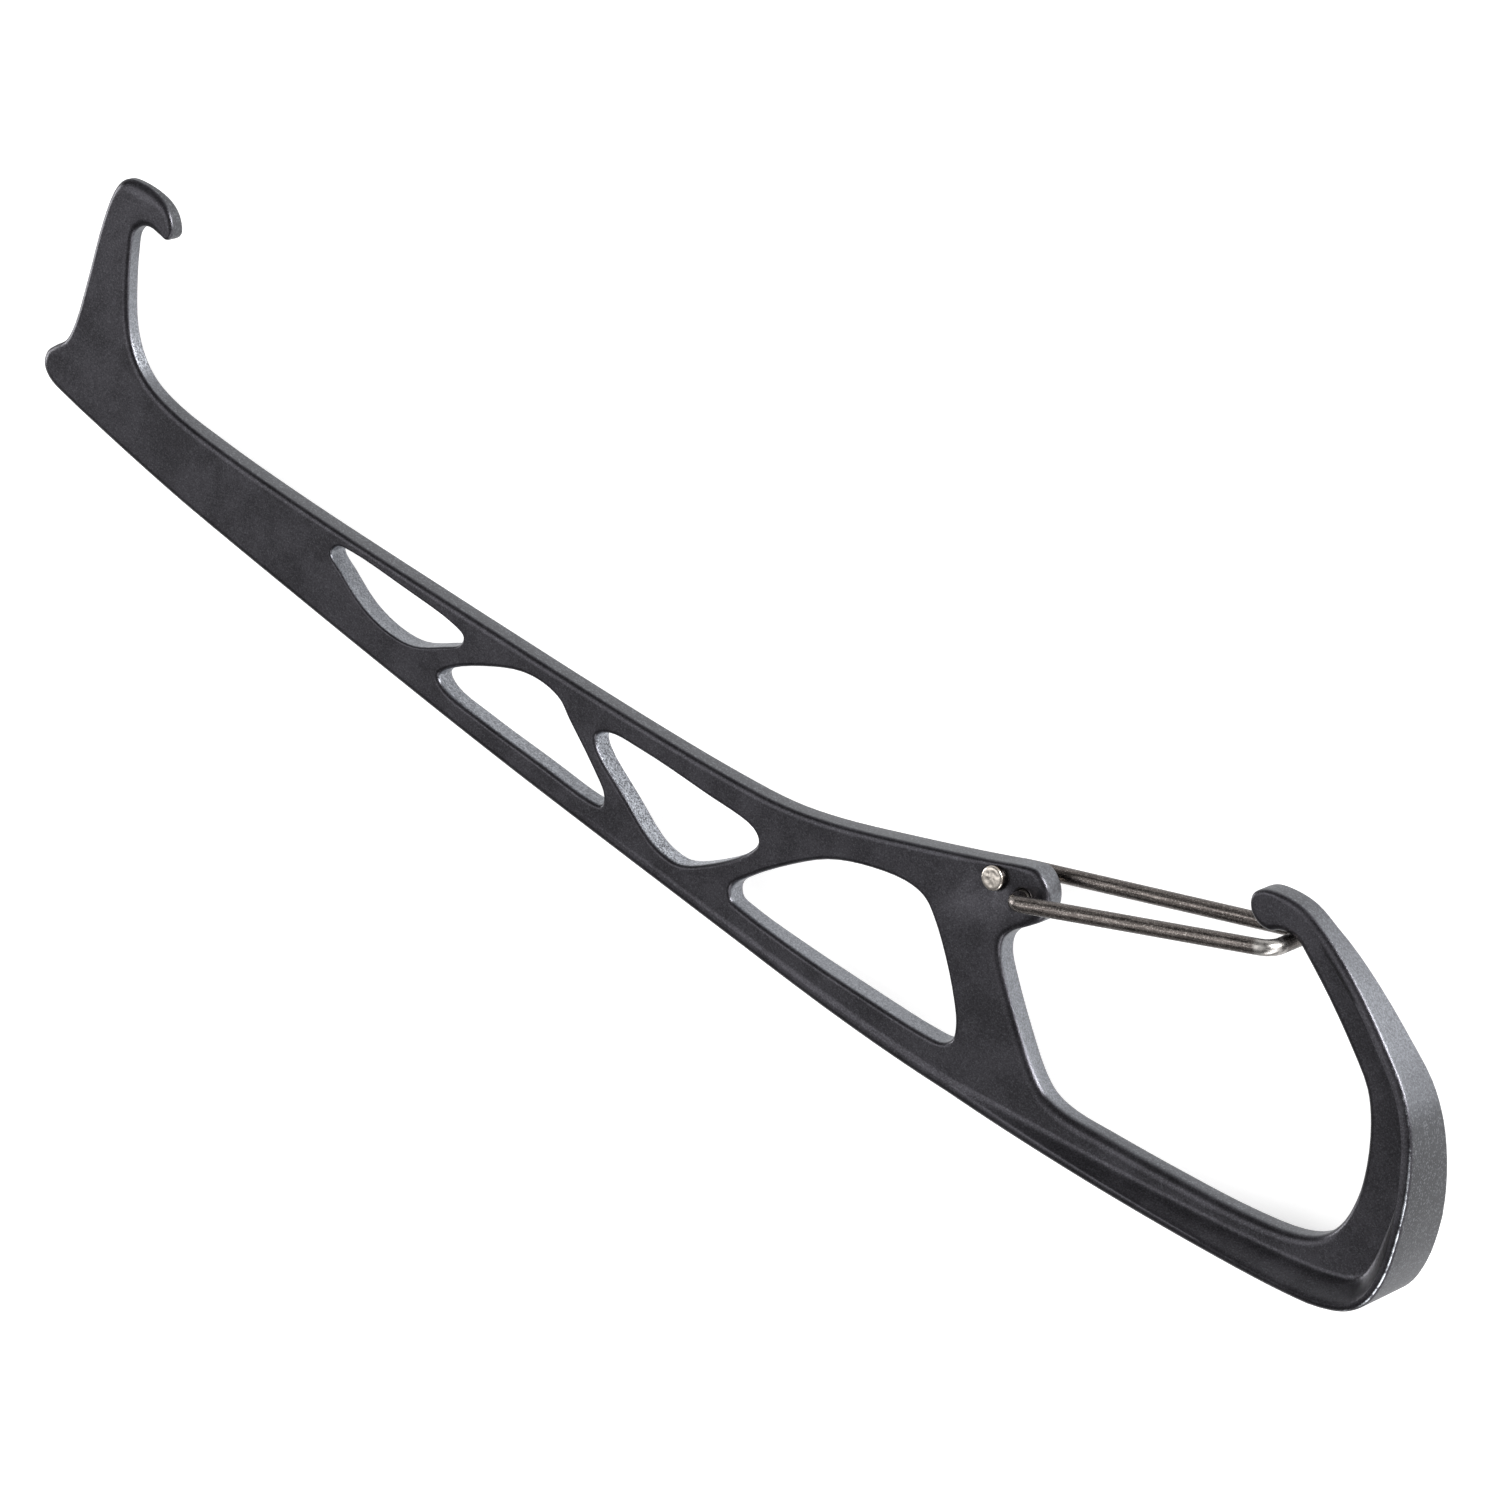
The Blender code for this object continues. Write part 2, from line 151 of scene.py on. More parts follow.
# Extra width of the rounded edge along the lower side of the loop
LOOP_EDGE = (
    [0.0] * len(BACK_EDGE + LOOP_END + NOSE + SEAT_LINE)
    + [0.0] * 5 + [0.1, 0.2, 0.3, 0.35, 0.45, 0.5, 0.5, 0.5, 0.45, 0.4, 0.3, 0.2, 0.15, 0.1]
    + [0.0] * len(EAR + TOP_EDGE + HOOK + HEEL)
)

# Windows through the blade, each anticlockwise
WINDOWS = [
    [(-55.9, 1.4), (-53.3, -0.2), (-49.4, -2.2), (-45.2, -3.1), (-41.2, -2.8), (-37.3, -0.7),
     (-35.1, 0.9), (-35.0, 2.0), (-37.0, 2.65), (-45.0, 3.0), (-53.3, 3.05), (-55.4, 2.6)],
    [(-34.9, -5.3), (-29.0, -5.9), (-19.3, -6.3), (-11.6, -6.6), (-10.0, -6.2), (-10.2, -5.0),
     (-12.8, -2.8), (-17.9, 0.7), (-20.0, 2.2), (-22.8, 2.75), (-26.0, 2.4), (-29.9, 0.8),
     (-35.2, -2.5), (-36.4, -4.2)],
    [(-12.8, -0.4), (-6.8, -3.9), (-2.3, -6.4), (0.0, -7.0), (2.4, -6.9), (5.2, -5.3),
     (10.1, -0.8), (11.0, 1.3), (9.8, 2.4), (2.0, 2.7), (-7.2, 2.7), (-12.2, 2.2), (-13.6, 1.0)],
    [(12.4, -7.3), (21.4, -7.6), (30.8, -7.5), (39.2, -7.2), (42.2, -6.7), (43.2, -5.6),
     (42.9, -3.8), (41.6, -1.4), (38.7, 2.6), (35.4, 6.2), (33.4, 7.6), (30.4, 7.9), (24.6, 6.5),
     (20.2, 4.5), (16.2, 1.4), (11.6, -3.1), (9.9, -5.5), (10.4, -6.9)],
]

# Share of the full rounding that each window's edge has, and its wall's painted reflection and
# grain
WINDOW_EDGES = (0.6, 1.0, 1.0, 1.05)
WINDOW_SHEEN_AND_GRAIN = (0.6, 0.65, 1.0, 0.55)

# Width of that rounding as a share of its depth, and the painted highlight and wear on it
WINDOW_WIDTH = 0.75
WINDOW_WEAR_AND_HIGHLIGHT = 0.6

# Countersink of a bore, ring by ring: extra radius, depth under the face, and the
# painted highlight and wear on it. The far bore's is narrower, by a share, so that it
# stays clear of the top edge
COUNTERSINK = ((0.0, 0.22, 0.0), (0.10, 0.10, 0.6), (0.22, 0.03, 0.6), (0.34, 0.0, 0.0))
FAR_COUNTERSINK = 0.35

# How finely smooth lines are drawn: degrees of turn and millimetres in one step,
# points of the trial line that the turn is read from, and sides of round shapes
TURN_PER_STEP = 4.0
LONGEST_STEP = 2.2
SPLINE_TRIAL = 12
ROUND_SIDES = 48

# Rounded edges: steps across them, how much deeper the wider ones are, and the
# width of the flat ring laid just inside them
EDGE_STEPS = 9
EXTRA_DEPTH, LOOP_DEPTH = 0.5, 0.7
SUPPORT = 0.08

# Rim: steps down its hollow, how the hollow leans, how the land and the hollow
# change with the rim's height, how the hollow changes along the arm, and the
# lowest rim that is drawn
COVE_STEPS, COVE_LEAN, COVE_POWER = 14, 0.72, 0.38
LAND_NARROWS = 0.35
ARM_STARTS_Y, ARM_FULL_Y, ARM_COVE = 3.0, 15.0, -0.6
LOWEST_RIM = 0.002

# Points this near each other are merged, or are taken for the same point or level
MERGE_REACH = 1e-4
TOUCHING = 0.01

# Faces that meet at more than this angle, in degrees, keep their edge
SHARP_ANGLE = 40.0

# Places where the edge is blended over more widely, or less: middle, reach, extra width
SOFT_EDGES = [
    ((-91.9, 24.3), 2.2, -0.52), ((41.0, 17.0), 5.0, -0.35), ((-50.0, 4.5), 16.0, -0.18),
    ((-98.0, 28.4), 6.5, 0.9), ((-103.3, 1.5), 4.0, 0.3),
    ((48.5, 14.5), 4.5, 0.8), ((72.0, 31.5), 4.5, -0.3),
]

# Peened heads: the drawn-in foot, the rounded shoulder, the straight part under it
# and the low crown, in mm, how round the shoulder is, how far its painted shade and
# wear fade up the shoulder, and the steps across shoulder and crown
HEAD_CHAMFER, HEAD_SHOULDER, HEAD_SKIRT, HEAD_CROWN = 0.15, 0.5, 0.12, 0.08
HEAD_ROUNDNESS, HEAD_SHADE_AND_WEAR_FADES = 1.3, 0.9
HEAD_STEPS, CROWN_STEPS = 7, 6

# Share of the wire's radius that is left at the flat foot of each end
FOOT_SHARE = 0.5

# Dimples left by the hammer on each head: angle round it in degrees, share of
# the radius out from the middle, share of the radius across, depth in mm. They are
# turned together by some degrees, and start at a height over the head's foot, in mm
DIMPLES = [
    (20, 0.10, 0.42, 0.10), (100, 0.42, 0.34, 0.08), (170, 0.36, 0.38, 0.09),
    (235, 0.50, 0.30, 0.07), (300, 0.44, 0.40, 0.10), (345, 0.62, 0.28, 0.06),
]
DIMPLES_TURN, DIMPLES_FROM = 30, 0.2

# Height of the surface's normal on a wall and on a face
WALL_SLOPE, FACE_SLOPE = 0.10, 0.62

# Scale of each grain, and scale and amount of the chips, which break up the painted
# highlight and wear on the forging's edges and the painted shade and wear round a head's foot
FACE_GRAIN, WALL_GRAIN, WIRE_GRAIN, HEAD_GRAIN = 5500.0, 4500.0, 8000.0, 3000.0
FORGING_CHIPS, HEAD_CHIPS = 1100.0, 1500.0
FORGING_WEAR_AND_HIGHLIGHT, HEAD_SHADE_AND_WEAR = 0.38, 0.9

# Roughness where a finish's tone is low and where it is high
FACE_ROUGHNESS, WIRE_ROUGHNESS, HEAD_ROUGHNESS = (0.29, 0.33), (0.24, 0.36), (0.4, 0.3)
FORGING_METALLIC = 0.85

# Bump of each finish: strength, and depth in metres
FORGING_BUMP, WIRE_BUMP, HEAD_BUMP = (0.35, 0.00004), (0.3, 0.00003), (0.4, 0.00006)

# Painted glints and rubbed bends of the wire, and the painted shade and wear round the foot of a
# head
WIRE_GLINT = (0.62, 0.58, 0.54)
WIRE_RUBBED = (0.50, 0.48, 0.46)
HEAD_FOOT_SHADE_AND_WEAR = (0.16, 0.10, 0.055)

# The crossbar's middle, measured along the wire, and how far from it each rubbed
# bend starts and ends, in mm
CROSSBAR_ALONG = 39.03
BEND_STARTS, BEND_ENDS = (2.0, 2.8), (4.6, 5.8)

# Camera, in the frame
CAMERA_PLACE = (0.38907, 0.39883, 0.71426)
CAMERA_TURN = (-14.2712, 35.5997, 22.5144)
CAMERA_LENS, SENSOR_WIDTH, CLIP_START = 189.0, 36.0, 0.01

# Direction of the room's light side, and how near it the light starts and is full
LIGHT_SIDE = (-0.34, -0.06, 0.94)
LIGHT_REACH = (0.7, 1.0)

# Height up the room over which the white seen in gloss fades
GLOSS_FADES = (0.02, 0.24)

# Floor: size in metres, scale of its faint grain, and lift to white for the camera
FLOOR_SIZE, FLOOR_GRAIN, FLOOR_GLOW = 8.0, 40.0, 0.7
WHITE = (1.0, 1.0, 1.0, 1.0)

# Lamps, in metres: name, place, width and height. All face one point of the tool
LAMPS = (
    ("top_lamp", (-0.32, 0.0, 0.52), (0.42, 0.42)),
    ("side_lamp", (0.62, -0.25, 0.26), (0.9, 0.26)),
    ("low_lamp", (0.42, 0.5, 0.12), (0.3, 0.22)),
    ("left_lamp", (-0.62, -0.17, 0.14), (0.3, 0.2)),
)
LAMP_AIM = (0.0, 0.0, 0.005)


class NutToolForging(bpy.types.PropertyGroup):
    """Sizes and colours of the forging."""

    edge_width: FloatProperty(
        name="Edge width", description="How far the rounded edge reaches in over the face, in mm",
        default=0.8, min=0.2, max=1.5,
    )
    window_edge: FloatProperty(
        name="Window edge", description="The same for the edges of the windows, in mm",
        default=0.7, min=0.2, max=1.0,
    )
    edge_depth: FloatProperty(
        name="Edge depth", description="How far the rounded edge falls down the wall, in mm",
        default=0.65, min=0.1, max=0.9,
    )
    rim_land: FloatProperty(
        name="Rim land", description="Flat top of the raised rim, from the wall in, in mm",
        default=1.2, min=0.5, max=3.0,
    )
    rim_cove: FloatProperty(
        name="Rim cove", description="Width of the hollow between the rim and the web, in mm",
        default=2.6, min=0.5, max=4.0,
    )
    face_colour: FloatVectorProperty(
        name="Face colour", description="Anodised colour of the faces", subtype="COLOR",
        size=3, min=0.0, max=1.0, default=(0.037, 0.0355, 0.041),
    )
    wall_colour: FloatVectorProperty(
        name="Wall colour", description="Thinner, brighter finish on the blasted walls",
        subtype="COLOR", size=3, min=0.0, max=1.0, default=(0.078, 0.079, 0.084),
    )
    # Painted reflection: the silver that walls are lifted to where they catch the light, partly
    # their real blasted finish
    silver_colour: FloatVectorProperty(
        name="Silver colour", description="Rough silvery finish inside the windows and the throat",
        subtype="COLOR", size=3, min=0.0, max=1.0, default=(0.45, 0.47, 0.515),
    )
    # Painted glints: bright specks laid into the colour where light glints off the grain
    glint_colour: FloatVectorProperty(
        name="Sparkle colour", description="Bright grains of bare metal", subtype="COLOR",
        size=3, min=0.0, max=1.0, default=(0.62, 0.65, 0.70),
    )


class NutToolGate(bpy.types.PropertyGroup):
    """Sizes and colours of the wire gate and its peened ends."""

    wire_radius: FloatProperty(
        name="Wire radius", description="Radius of the gate wire, in mm",
        default=0.95, min=0.5, max=2.0,
    )
    head_radius: FloatProperty(
        name="Head radius", description="Radius of the peened heads, in mm",
        default=1.45, min=1.0, max=2.5,
    )
    head_height: FloatProperty(
        name="Head height", description="Height of the peened heads, in mm",
        default=0.6, min=0.2, max=1.5,
    )
    wire_colour: FloatVectorProperty(
        name="Wire colour", description="Drawn steel of the wire", subtype="COLOR",
        size=3, min=0.0, max=1.0, default=(0.112, 0.098, 0.092),
    )
    head_colour: FloatVectorProperty(
        name="Head colour", description="Peened steel of the heads", subtype="COLOR",
        size=3, min=0.0, max=1.0, default=(0.56, 0.515, 0.465),
    )


class NutToolStage(bpy.types.PropertyGroup):
    """Floor, lamps and room."""

    floor_colour: FloatVectorProperty(
        name="Floor colour", description="Pale floor under the tool", subtype="COLOR",
        size=3, min=0.0, max=1.0, default=(0.82, 0.82, 0.82),
    )
    room_light: FloatProperty(
        name="Room light", description="Strength of the room on its dark side",
        default=0.18, min=0.0, max=2.0,
    )
    window_light: FloatProperty(
        name="Window light", description="Strength of the room on its light side",
        default=1.0, min=0.0, max=2.0,
    )
    top_lamp: FloatProperty(
        name="Top lamp", description="Power of the lamp overhead", subtype="POWER",
        default=0.8, min=0.0, max=50.0,
    )
    side_lamp: FloatProperty(
        name="Side lamp", description="Power of the lamp beside the loop",
        subtype="POWER", default=3.6, min=0.0, max=50.0,
    )
    low_lamp: FloatProperty(
        name="Low lamp", description="Power of the low lamp behind the gate",
        subtype="POWER", default=7.0, min=0.0, max=50.0,
    )
    left_lamp: FloatProperty(
        name="Left lamp", description="Power of the low lamp beside the hook",
        subtype="POWER", default=1.8, min=0.0, max=50.0,
    )


# ---------------------------------------------------------------- smooth lines


def spline_span(p0, p1, p2, p3, count):
    """Points of a centripetal spline from p1 up to, not including, p2."""
    t0 = 0.0
    t1 = t0 + math.sqrt((p1 - p0).length)
    t2 = t1 + math.sqrt((p2 - p1).length)
    t3 = t2 + math.sqrt((p3 - p2).length)
    points = []
    for step in range(count):
        t = t1 + (t2 - t1) * step / count
        a1 = p0.lerp(p1, (t - t0) / (t1 - t0))
        a2 = p1.lerp(p2, (t - t1) / (t2 - t1))
        a3 = p2.lerp(p3, (t - t2) / (t3 - t2))
        b1 = a1.lerp(a2, (t - t0) / (t2 - t0))
        b2 = a2.lerp(a3, (t - t1) / (t3 - t1))
        points.append(b1.lerp(b2, (t - t1) / (t2 - t1)))
    return points


def turn_of(points):
    """Sum of the turns along a run of points, in degrees."""
    legs = [b - a for a, b in zip(points, points[1:])]
    return math.degrees(sum(abs(a.angle_signed(b)) for a, b in zip(legs, legs[1:])))


def smooth_loop(points):
    """A closed smooth line through the points, finer where it turns, and the place
    of each of its points among them."""
    anchors = [Vector(p) for p in points]
    loop, places = [], []
    for i, p1 in enumerate(anchors):
        p0, p2, p3 = (anchors[(i + j) % len(anchors)] for j in (-1, 1, 2))
        fine = spline_span(p0, p1, p2, p3, SPLINE_TRIAL) + [p2]
        steps = max(turn_of(fine) / TURN_PER_STEP, (p2 - p1).length / LONGEST_STEP)
        count = max(1, math.ceil(steps))
        loop += spline_span(p0, p1, p2, p3, count)
        places += [i + step / count for step in range(count)]
    return loop, places


def circle(centre, radius, sides):
    """Points of a circle, anticlockwise."""
    return [
        Vector((centre[0] + radius * math.cos(math.tau * i / sides),
                centre[1] + radius * math.sin(math.tau * i / sides)))
        for i in range(sides)
    ]


def shifted_loop(loop, distances):
    """Each point moved by its own distance to the left of the way the loop runs."""
    moved = []
    for i, point in enumerate(loop):
        before = (point - loop[i - 1]).normalized()
        after = (loop[(i + 1) % len(loop)] - point).normalized()
        left = Vector((-before.y - after.y, before.x + after.x)).normalized()
        reach = max(0.5, left.dot(Vector((-after.y, after.x))))
        moved.append(point + left * (distances[i] / reach))
    return moved


def ease(value):
    """Smooth step from 0 to 1."""
    t = min(1.0, max(0.0, value))
    return t * t * (3 - 2 * t)


# ---------------------------------------------------------- modelling by hand


def deselect_everything():
    """Leaves object mode with nothing selected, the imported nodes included."""
    if bpy.context.mode != "OBJECT":
        bpy.ops.object.mode_set(mode="OBJECT")
    bpy.ops.object.select_all(action="DESELECT")


def mesh_in_edit(piece):
    """The mesh of the piece in edit mode, ready to be read by vertex number."""
    mesh = bmesh.from_edit_mesh(piece.data)
    mesh.verts.ensure_lookup_table()
    return mesh


def start_ring(name, points, finish=None):
    """A new object in edit mode: one ring of edges, drawn out onto the points."""
    deselect_everything()
    bpy.ops.mesh.primitive_circle_add(vertices=len(points), radius=1.0, fill_type="NOTHING")
    piece = bpy.context.active_object
    piece.name = piece.data.name = name
    bpy.ops.object.mode_set(mode="EDIT")
    mesh = bmesh.from_edit_mesh(piece.data)
    # Each point carries the wear and painted highlight of its edge, and the painted reflection and
    # grain of its wall
    mesh.verts.layers.float.new("edge_wear")
    layer = mesh.verts.layers.float.new("wall_finish")
    mesh.verts.ensure_lookup_table()
    for number, point in enumerate(points):
        mesh.verts[number].co = point
        mesh.verts[number][layer] = finish[number] if finish else 0.0
    bmesh.update_edit_mesh(piece.data)
    return piece


def extrude_ring(piece, ring, points, tints=None):
    """Extrudes a ring, given as vertex numbers, and lays its copy on the points."""
    tints = tints or [0.0] * len(ring)
    mesh = mesh_in_edit(piece)
    bpy.ops.mesh.select_all(action="DESELECT")
    bpy.ops.mesh.select_mode(type="VERT")
    chosen = set(ring)
    for number in ring:
        mesh.verts[number].select = True
    for edge in mesh.edges:
        edge.select = edge.verts[0].index in chosen and edge.verts[1].index in chosen
    bmesh.update_edit_mesh(piece.data)
    count = len(mesh.verts)
    bpy.ops.mesh.extrude_edges_move()
    mesh = bmesh.from_edit_mesh(piece.data)
    mesh.verts.index_update()
    mesh.verts.ensure_lookup_table()
    layer = mesh.verts.layers.float["edge_wear"]
    raised = []
    for number, point, tint in zip(ring, points, tints):
        vert = mesh.verts[number]
        ends = [edge.other_vert(vert) for edge in vert.link_edges]
        copied = next(end for end in ends if end.index >= count)
        copied.co = point
        copied[layer] = tint
        raised.append(copied.index)
    bmesh.update_edit_mesh(piece.data)
    return raised


def close_ring(piece, ring):
    """Fills a ring, given as vertex numbers, with one face."""
    mesh = mesh_in_edit(piece)
    bpy.ops.mesh.select_all(action="DESELECT")
    for number in ring:
        mesh.verts[number].select = True
    mesh.select_flush(True)
    bmesh.update_edit_mesh(piece.data)
    bpy.ops.mesh.edge_face_add()


def closed_piece(name, rings, tints):
    """One ring after another joined into a closed piece, each ring with its wear."""
    piece = start_ring(name, rings[0])
    ring = list(range(len(rings[0])))
    close_ring(piece, ring)
    for points, tint in zip(rings[1:], tints[1:]):
        ring = extrude_ring(piece, ring, points, [tint] * len(ring))
    close_ring(piece, ring)
    return piece


def merge_doubles():
    """Merges what has come together in the mesh."""
    bpy.ops.mesh.select_all(action="SELECT")
    bpy.ops.mesh.remove_doubles(threshold=MERGE_REACH)


def face_outward():
    """Turns every face outward."""
    bpy.ops.mesh.select_all(action="SELECT")
    bpy.ops.mesh.normals_make_consistent(inside=False)


def finish_piece(piece, body, nodes, material):
    """Brings a piece drawn in millimetres into the frame and hands it to its body."""
    deselect_everything()
    piece.select_set(True)
    bpy.context.view_layer.objects.active = piece
    piece.scale = (MM, MM, MM)
    piece.location = -DRAWING_TO_FRAME * MM
    bpy.ops.object.transform_apply(location=True, rotation=True, scale=True)
    bpy.ops.object.shade_smooth_by_angle(angle=math.radians(SHARP_ANGLE))
    piece.data.materials.clear()
    piece.data.materials.append(material)
    if not piece.data.polygons:
        raise RuntimeError(f"{piece.name} came out empty")
    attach(piece, body)
    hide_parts(*nodes)
    deselect_everything()


# --------------------------------------------------------------- the forging


def value_at(place, values):
    """A value given at each point of the outline, blended between two of them."""
    number = int(place)
    share = ease(place - number)
    return values[number] * (1 - share) + values[(number + 1) % len(values)] * share


def edge_extra(point):
    """Extra width of the rounded edge round the softer places."""
    extra = 0.0
    for middle, reach, width in SOFT_EDGES:
        extra += width * ease(1.0 - (point - Vector(middle)).length / reach)
    return extra


def share_between(value, start, end):
    """How far a value has come from start to end, from 0 to 1."""
    return min(1.0, max(0.0, (value - start) / (end - start)))


def rim_height(loop):
    """Height of the raised rim above the web at each point of the outline."""
    full = (RIM_THICKNESS - LOOP_THICKNESS) / 2
    arm_end = Vector(LOOP_END[-1])
    heights = []
    on_rim = True
    for point in loop:
        if (point - arm_end).length < TOUCHING:
            on_rim = False
        height = 0.0
        if on_rim and point.x > STEP_STARTS_X:
            rise = share_between(point.x, RIM_RISES_X, RIM_FULL_X) ** RIM_RISE_POWER
            fall = share_between(point.y, RIM_FALLS_Y, RIM_GONE_Y)
            step = STEP_HEIGHT * ease((point.x - STEP_STARTS_X) / (STEP_FULL_X - STEP_STARTS_X))
            height = (full * rise + step * (1 - rise)) * (1 - fall) ** RIM_FALL_POWER
        heights.append(height)
    return heights


def on_level(loop, heights):
    """The loop's points, each at its own height."""
    return [Vector((p.x, p.y, z)) for p, z in zip(loop, heights)]


def round_edge(piece, ring, loop, tops, inward, width, depth, worn_and_highlit):
    """The rounded edge of one loop, from the wall up to the face."""
    for step in range(1, EDGE_STEPS + 1):
        angle = math.pi / 2 * step / EDGE_STEPS
        reach = [inward * w * (1 - math.cos(angle)) for w in width]
        heights = [top - d * (1 - math.sin(angle)) for top, d in zip(tops, depth)]
        # Painted highlight and wear: strongest halfway round the edge, none where it meets wall
        # and face
        tints = [w * math.sin(2 * angle) ** 2 for w in worn_and_highlit]
        ring = extrude_ring(piece, ring, on_level(shifted_loop(loop, reach), heights), tints)
    reach = [inward * (w + SUPPORT) for w in width]
    return extrude_ring(piece, ring, on_level(shifted_loop(loop, reach), tops))


def raise_rim(piece, ring, loop, heights, width, settings):
    """Land and hollow of the raised rim, from the rounded edge in to the web."""
    mesh = mesh_in_edit(piece)
    face_ring = [mesh.verts[number].co.copy() for number in ring]
    full = max(heights)
    arms = [ease((point.y - ARM_STARTS_Y) / (ARM_FULL_Y - ARM_STARTS_Y)) for point in loop]
    for step in range(COVE_STEPS + 1):
        t = step / COVE_STEPS
        fall = ease(t ** COVE_LEAN)
        reach = []
        for h, w, arm in zip(heights, width, arms):
            share = h / full
            land = max(w + SUPPORT, settings.rim_land - LAND_NARROWS * share * (1 - arm))
            cove = settings.rim_cove * share ** COVE_POWER * (1 + ARM_COVE * arm)
            reach.append(land + t * cove if h > LOWEST_RIM else w + SUPPORT)
        inner = shifted_loop(loop, reach)
        points = [
            Vector((p.x, p.y, WEB + h * (1 - fall))) if h > LOWEST_RIM else Vector(q)
            for p, q, h in zip(inner, face_ring, heights)
        ]
        ring = extrude_ring(piece, ring, points)


def fill_web(piece):
    """Fills the web between the rings that end at its level, leaving the holes."""
    merge_doubles()
    mesh = bmesh.from_edit_mesh(piece.data)
    border = [
        edge for edge in mesh.edges
        if len(edge.link_faces) == 1 and edge.verts[0].co.z > WEB - TOUCHING
    ]
    verts = list(dict.fromkeys(vert for edge in border for vert in edge.verts))
    number = {vert: i for i, vert in enumerate(verts)}
    edges = [(number[edge.verts[0]], number[edge.verts[1]]) for edge in border]
    flat = [vert.co.xy for vert in verts]
    points, _, faces, sources, _, _ = delaunay_2d_cdt(flat, edges, [], 1, 1e-7)
    start = np.array([flat[a] for a, _ in edges])
    end = np.array([flat[b] for _, b in edges])
    for face in faces:
        x, y = sum((points[i] for i in face), Vector((0.0, 0.0))) / len(face)
        spans = (start[:, 1] > y) != (end[:, 1] > y)
        a, b = start[spans], end[spans]
        met = a[:, 0] + (b[:, 0] - a[:, 0]) * (y - a[:, 1]) / (b[:, 1] - a[:, 1])
        if (x < met).sum() % 2:
            mesh.faces.new([verts[sources[i][0]] for i in face])
    bmesh.update_edit_mesh(piece.data)


def level_at(x):
    """Half the thickness of the web at this place along the tool."""
    if x <= THICKNESS_STATIONS[0][0]:
        return THICKNESS_STATIONS[0][1] / 2
    for (x0, t0), (x1, t1) in zip(THICKNESS_STATIONS, THICKNESS_STATIONS[1:]):
        if x <= x1:
            return (t0 + (t1 - t0) * (x - x0) / (x1 - x0)) / 2
    return THICKNESS_STATIONS[-1][1] / 2


def taper(piece, depth):
    """Thins the forging towards the hook, with a break at each station."""
    for x, _ in THICKNESS_STATIONS:
        bpy.ops.mesh.select_all(action="SELECT")
        bpy.ops.mesh.bisect(plane_co=(x, 0, 0), plane_no=(1, 0, 0), threshold=1e-5)
    mesh = bmesh.from_edit_mesh(piece.data)
    for vert in mesh.verts:
        thinner = WEB - level_at(vert.co.x)
        if thinner > 0:
            z = vert.co.z
            share = min(1.0, abs(z) / (WEB - depth))
            vert.co.z = math.copysign(max(0.0, abs(z) - thinner * share), z)
    bmesh.update_edit_mesh(piece.data)


def make_outer_half(settings):
    """The near half of the forging's wall, rounded edge and rim, from its outline."""
    outline, places = smooth_loop(OUTLINE)
    heights = rim_height(outline)
    tops = [WEB + h for h in heights]
    wider = [value_at(place, LOOP_EDGE) for place in places]
    width = [
        settings.edge_width + edge_extra(point) + more for point, more in zip(outline, wider)
    ]
    depth = [
        settings.edge_depth + EXTRA_DEPTH * max(0.0, w - settings.edge_width) + LOOP_DEPTH * more
        for w, more in zip(width, wider)
    ]
    # Painted reflection and grain of the wall, and painted highlight and wear of its edge, at each
    # point
    finish = [value_at(place, WALL_SHEEN_AND_GRAIN) for place in places]
    worn_and_highlit = [value_at(place, EDGE_WEAR_AND_HIGHLIGHT) for place in places]
    piece = start_ring("forging", on_level(outline, [0.0] * len(outline)), finish)
    wall_tops = on_level(outline, [top - d for top, d in zip(tops, depth)])
    ring = extrude_ring(piece, list(range(len(outline))), wall_tops)
    ring = round_edge(piece, ring, outline, tops, 1, width, depth, worn_and_highlit)
    raise_rim(piece, ring, outline, heights, width, settings)
    return piece


def make_window_half(name, window, edge, finish):
    """The near half of one window's wall and rounded edge."""
    loop, _ = smooth_loop(window)
    count = len(loop)
    # The wall carries its painted reflection and grain, the edge its painted highlight and wear
    hole = start_ring(name, on_level(loop, [0.0] * count), [finish] * count)
    ring = extrude_ring(hole, list(range(count)), on_level(loop, [WEB - edge] * count))
    width, depth, worn_and_highlit = [edge * WINDOW_WIDTH] * count, [edge] * count, [WINDOW_WEAR_AND_HIGHLIGHT] * count
    round_edge(hole, ring, loop, [WEB] * count, -1, width, depth, worn_and_highlit)
    return hole


def make_bore_half(name, centre, radius, wide):
    """The near half of one bore and its countersink."""
    loop = circle(centre, radius, ROUND_SIDES)
    hole = start_ring(name, on_level(loop, [0.0] * ROUND_SIDES))
    ring = list(range(ROUND_SIDES))
    for more, drop, tint in COUNTERSINK:
        wider = on_level(circle(centre, radius + more * wide, ROUND_SIDES),
                         [WEB - drop] * ROUND_SIDES)
        ring = extrude_ring(hole, ring, wider, [tint] * ROUND_SIDES)
    return hole


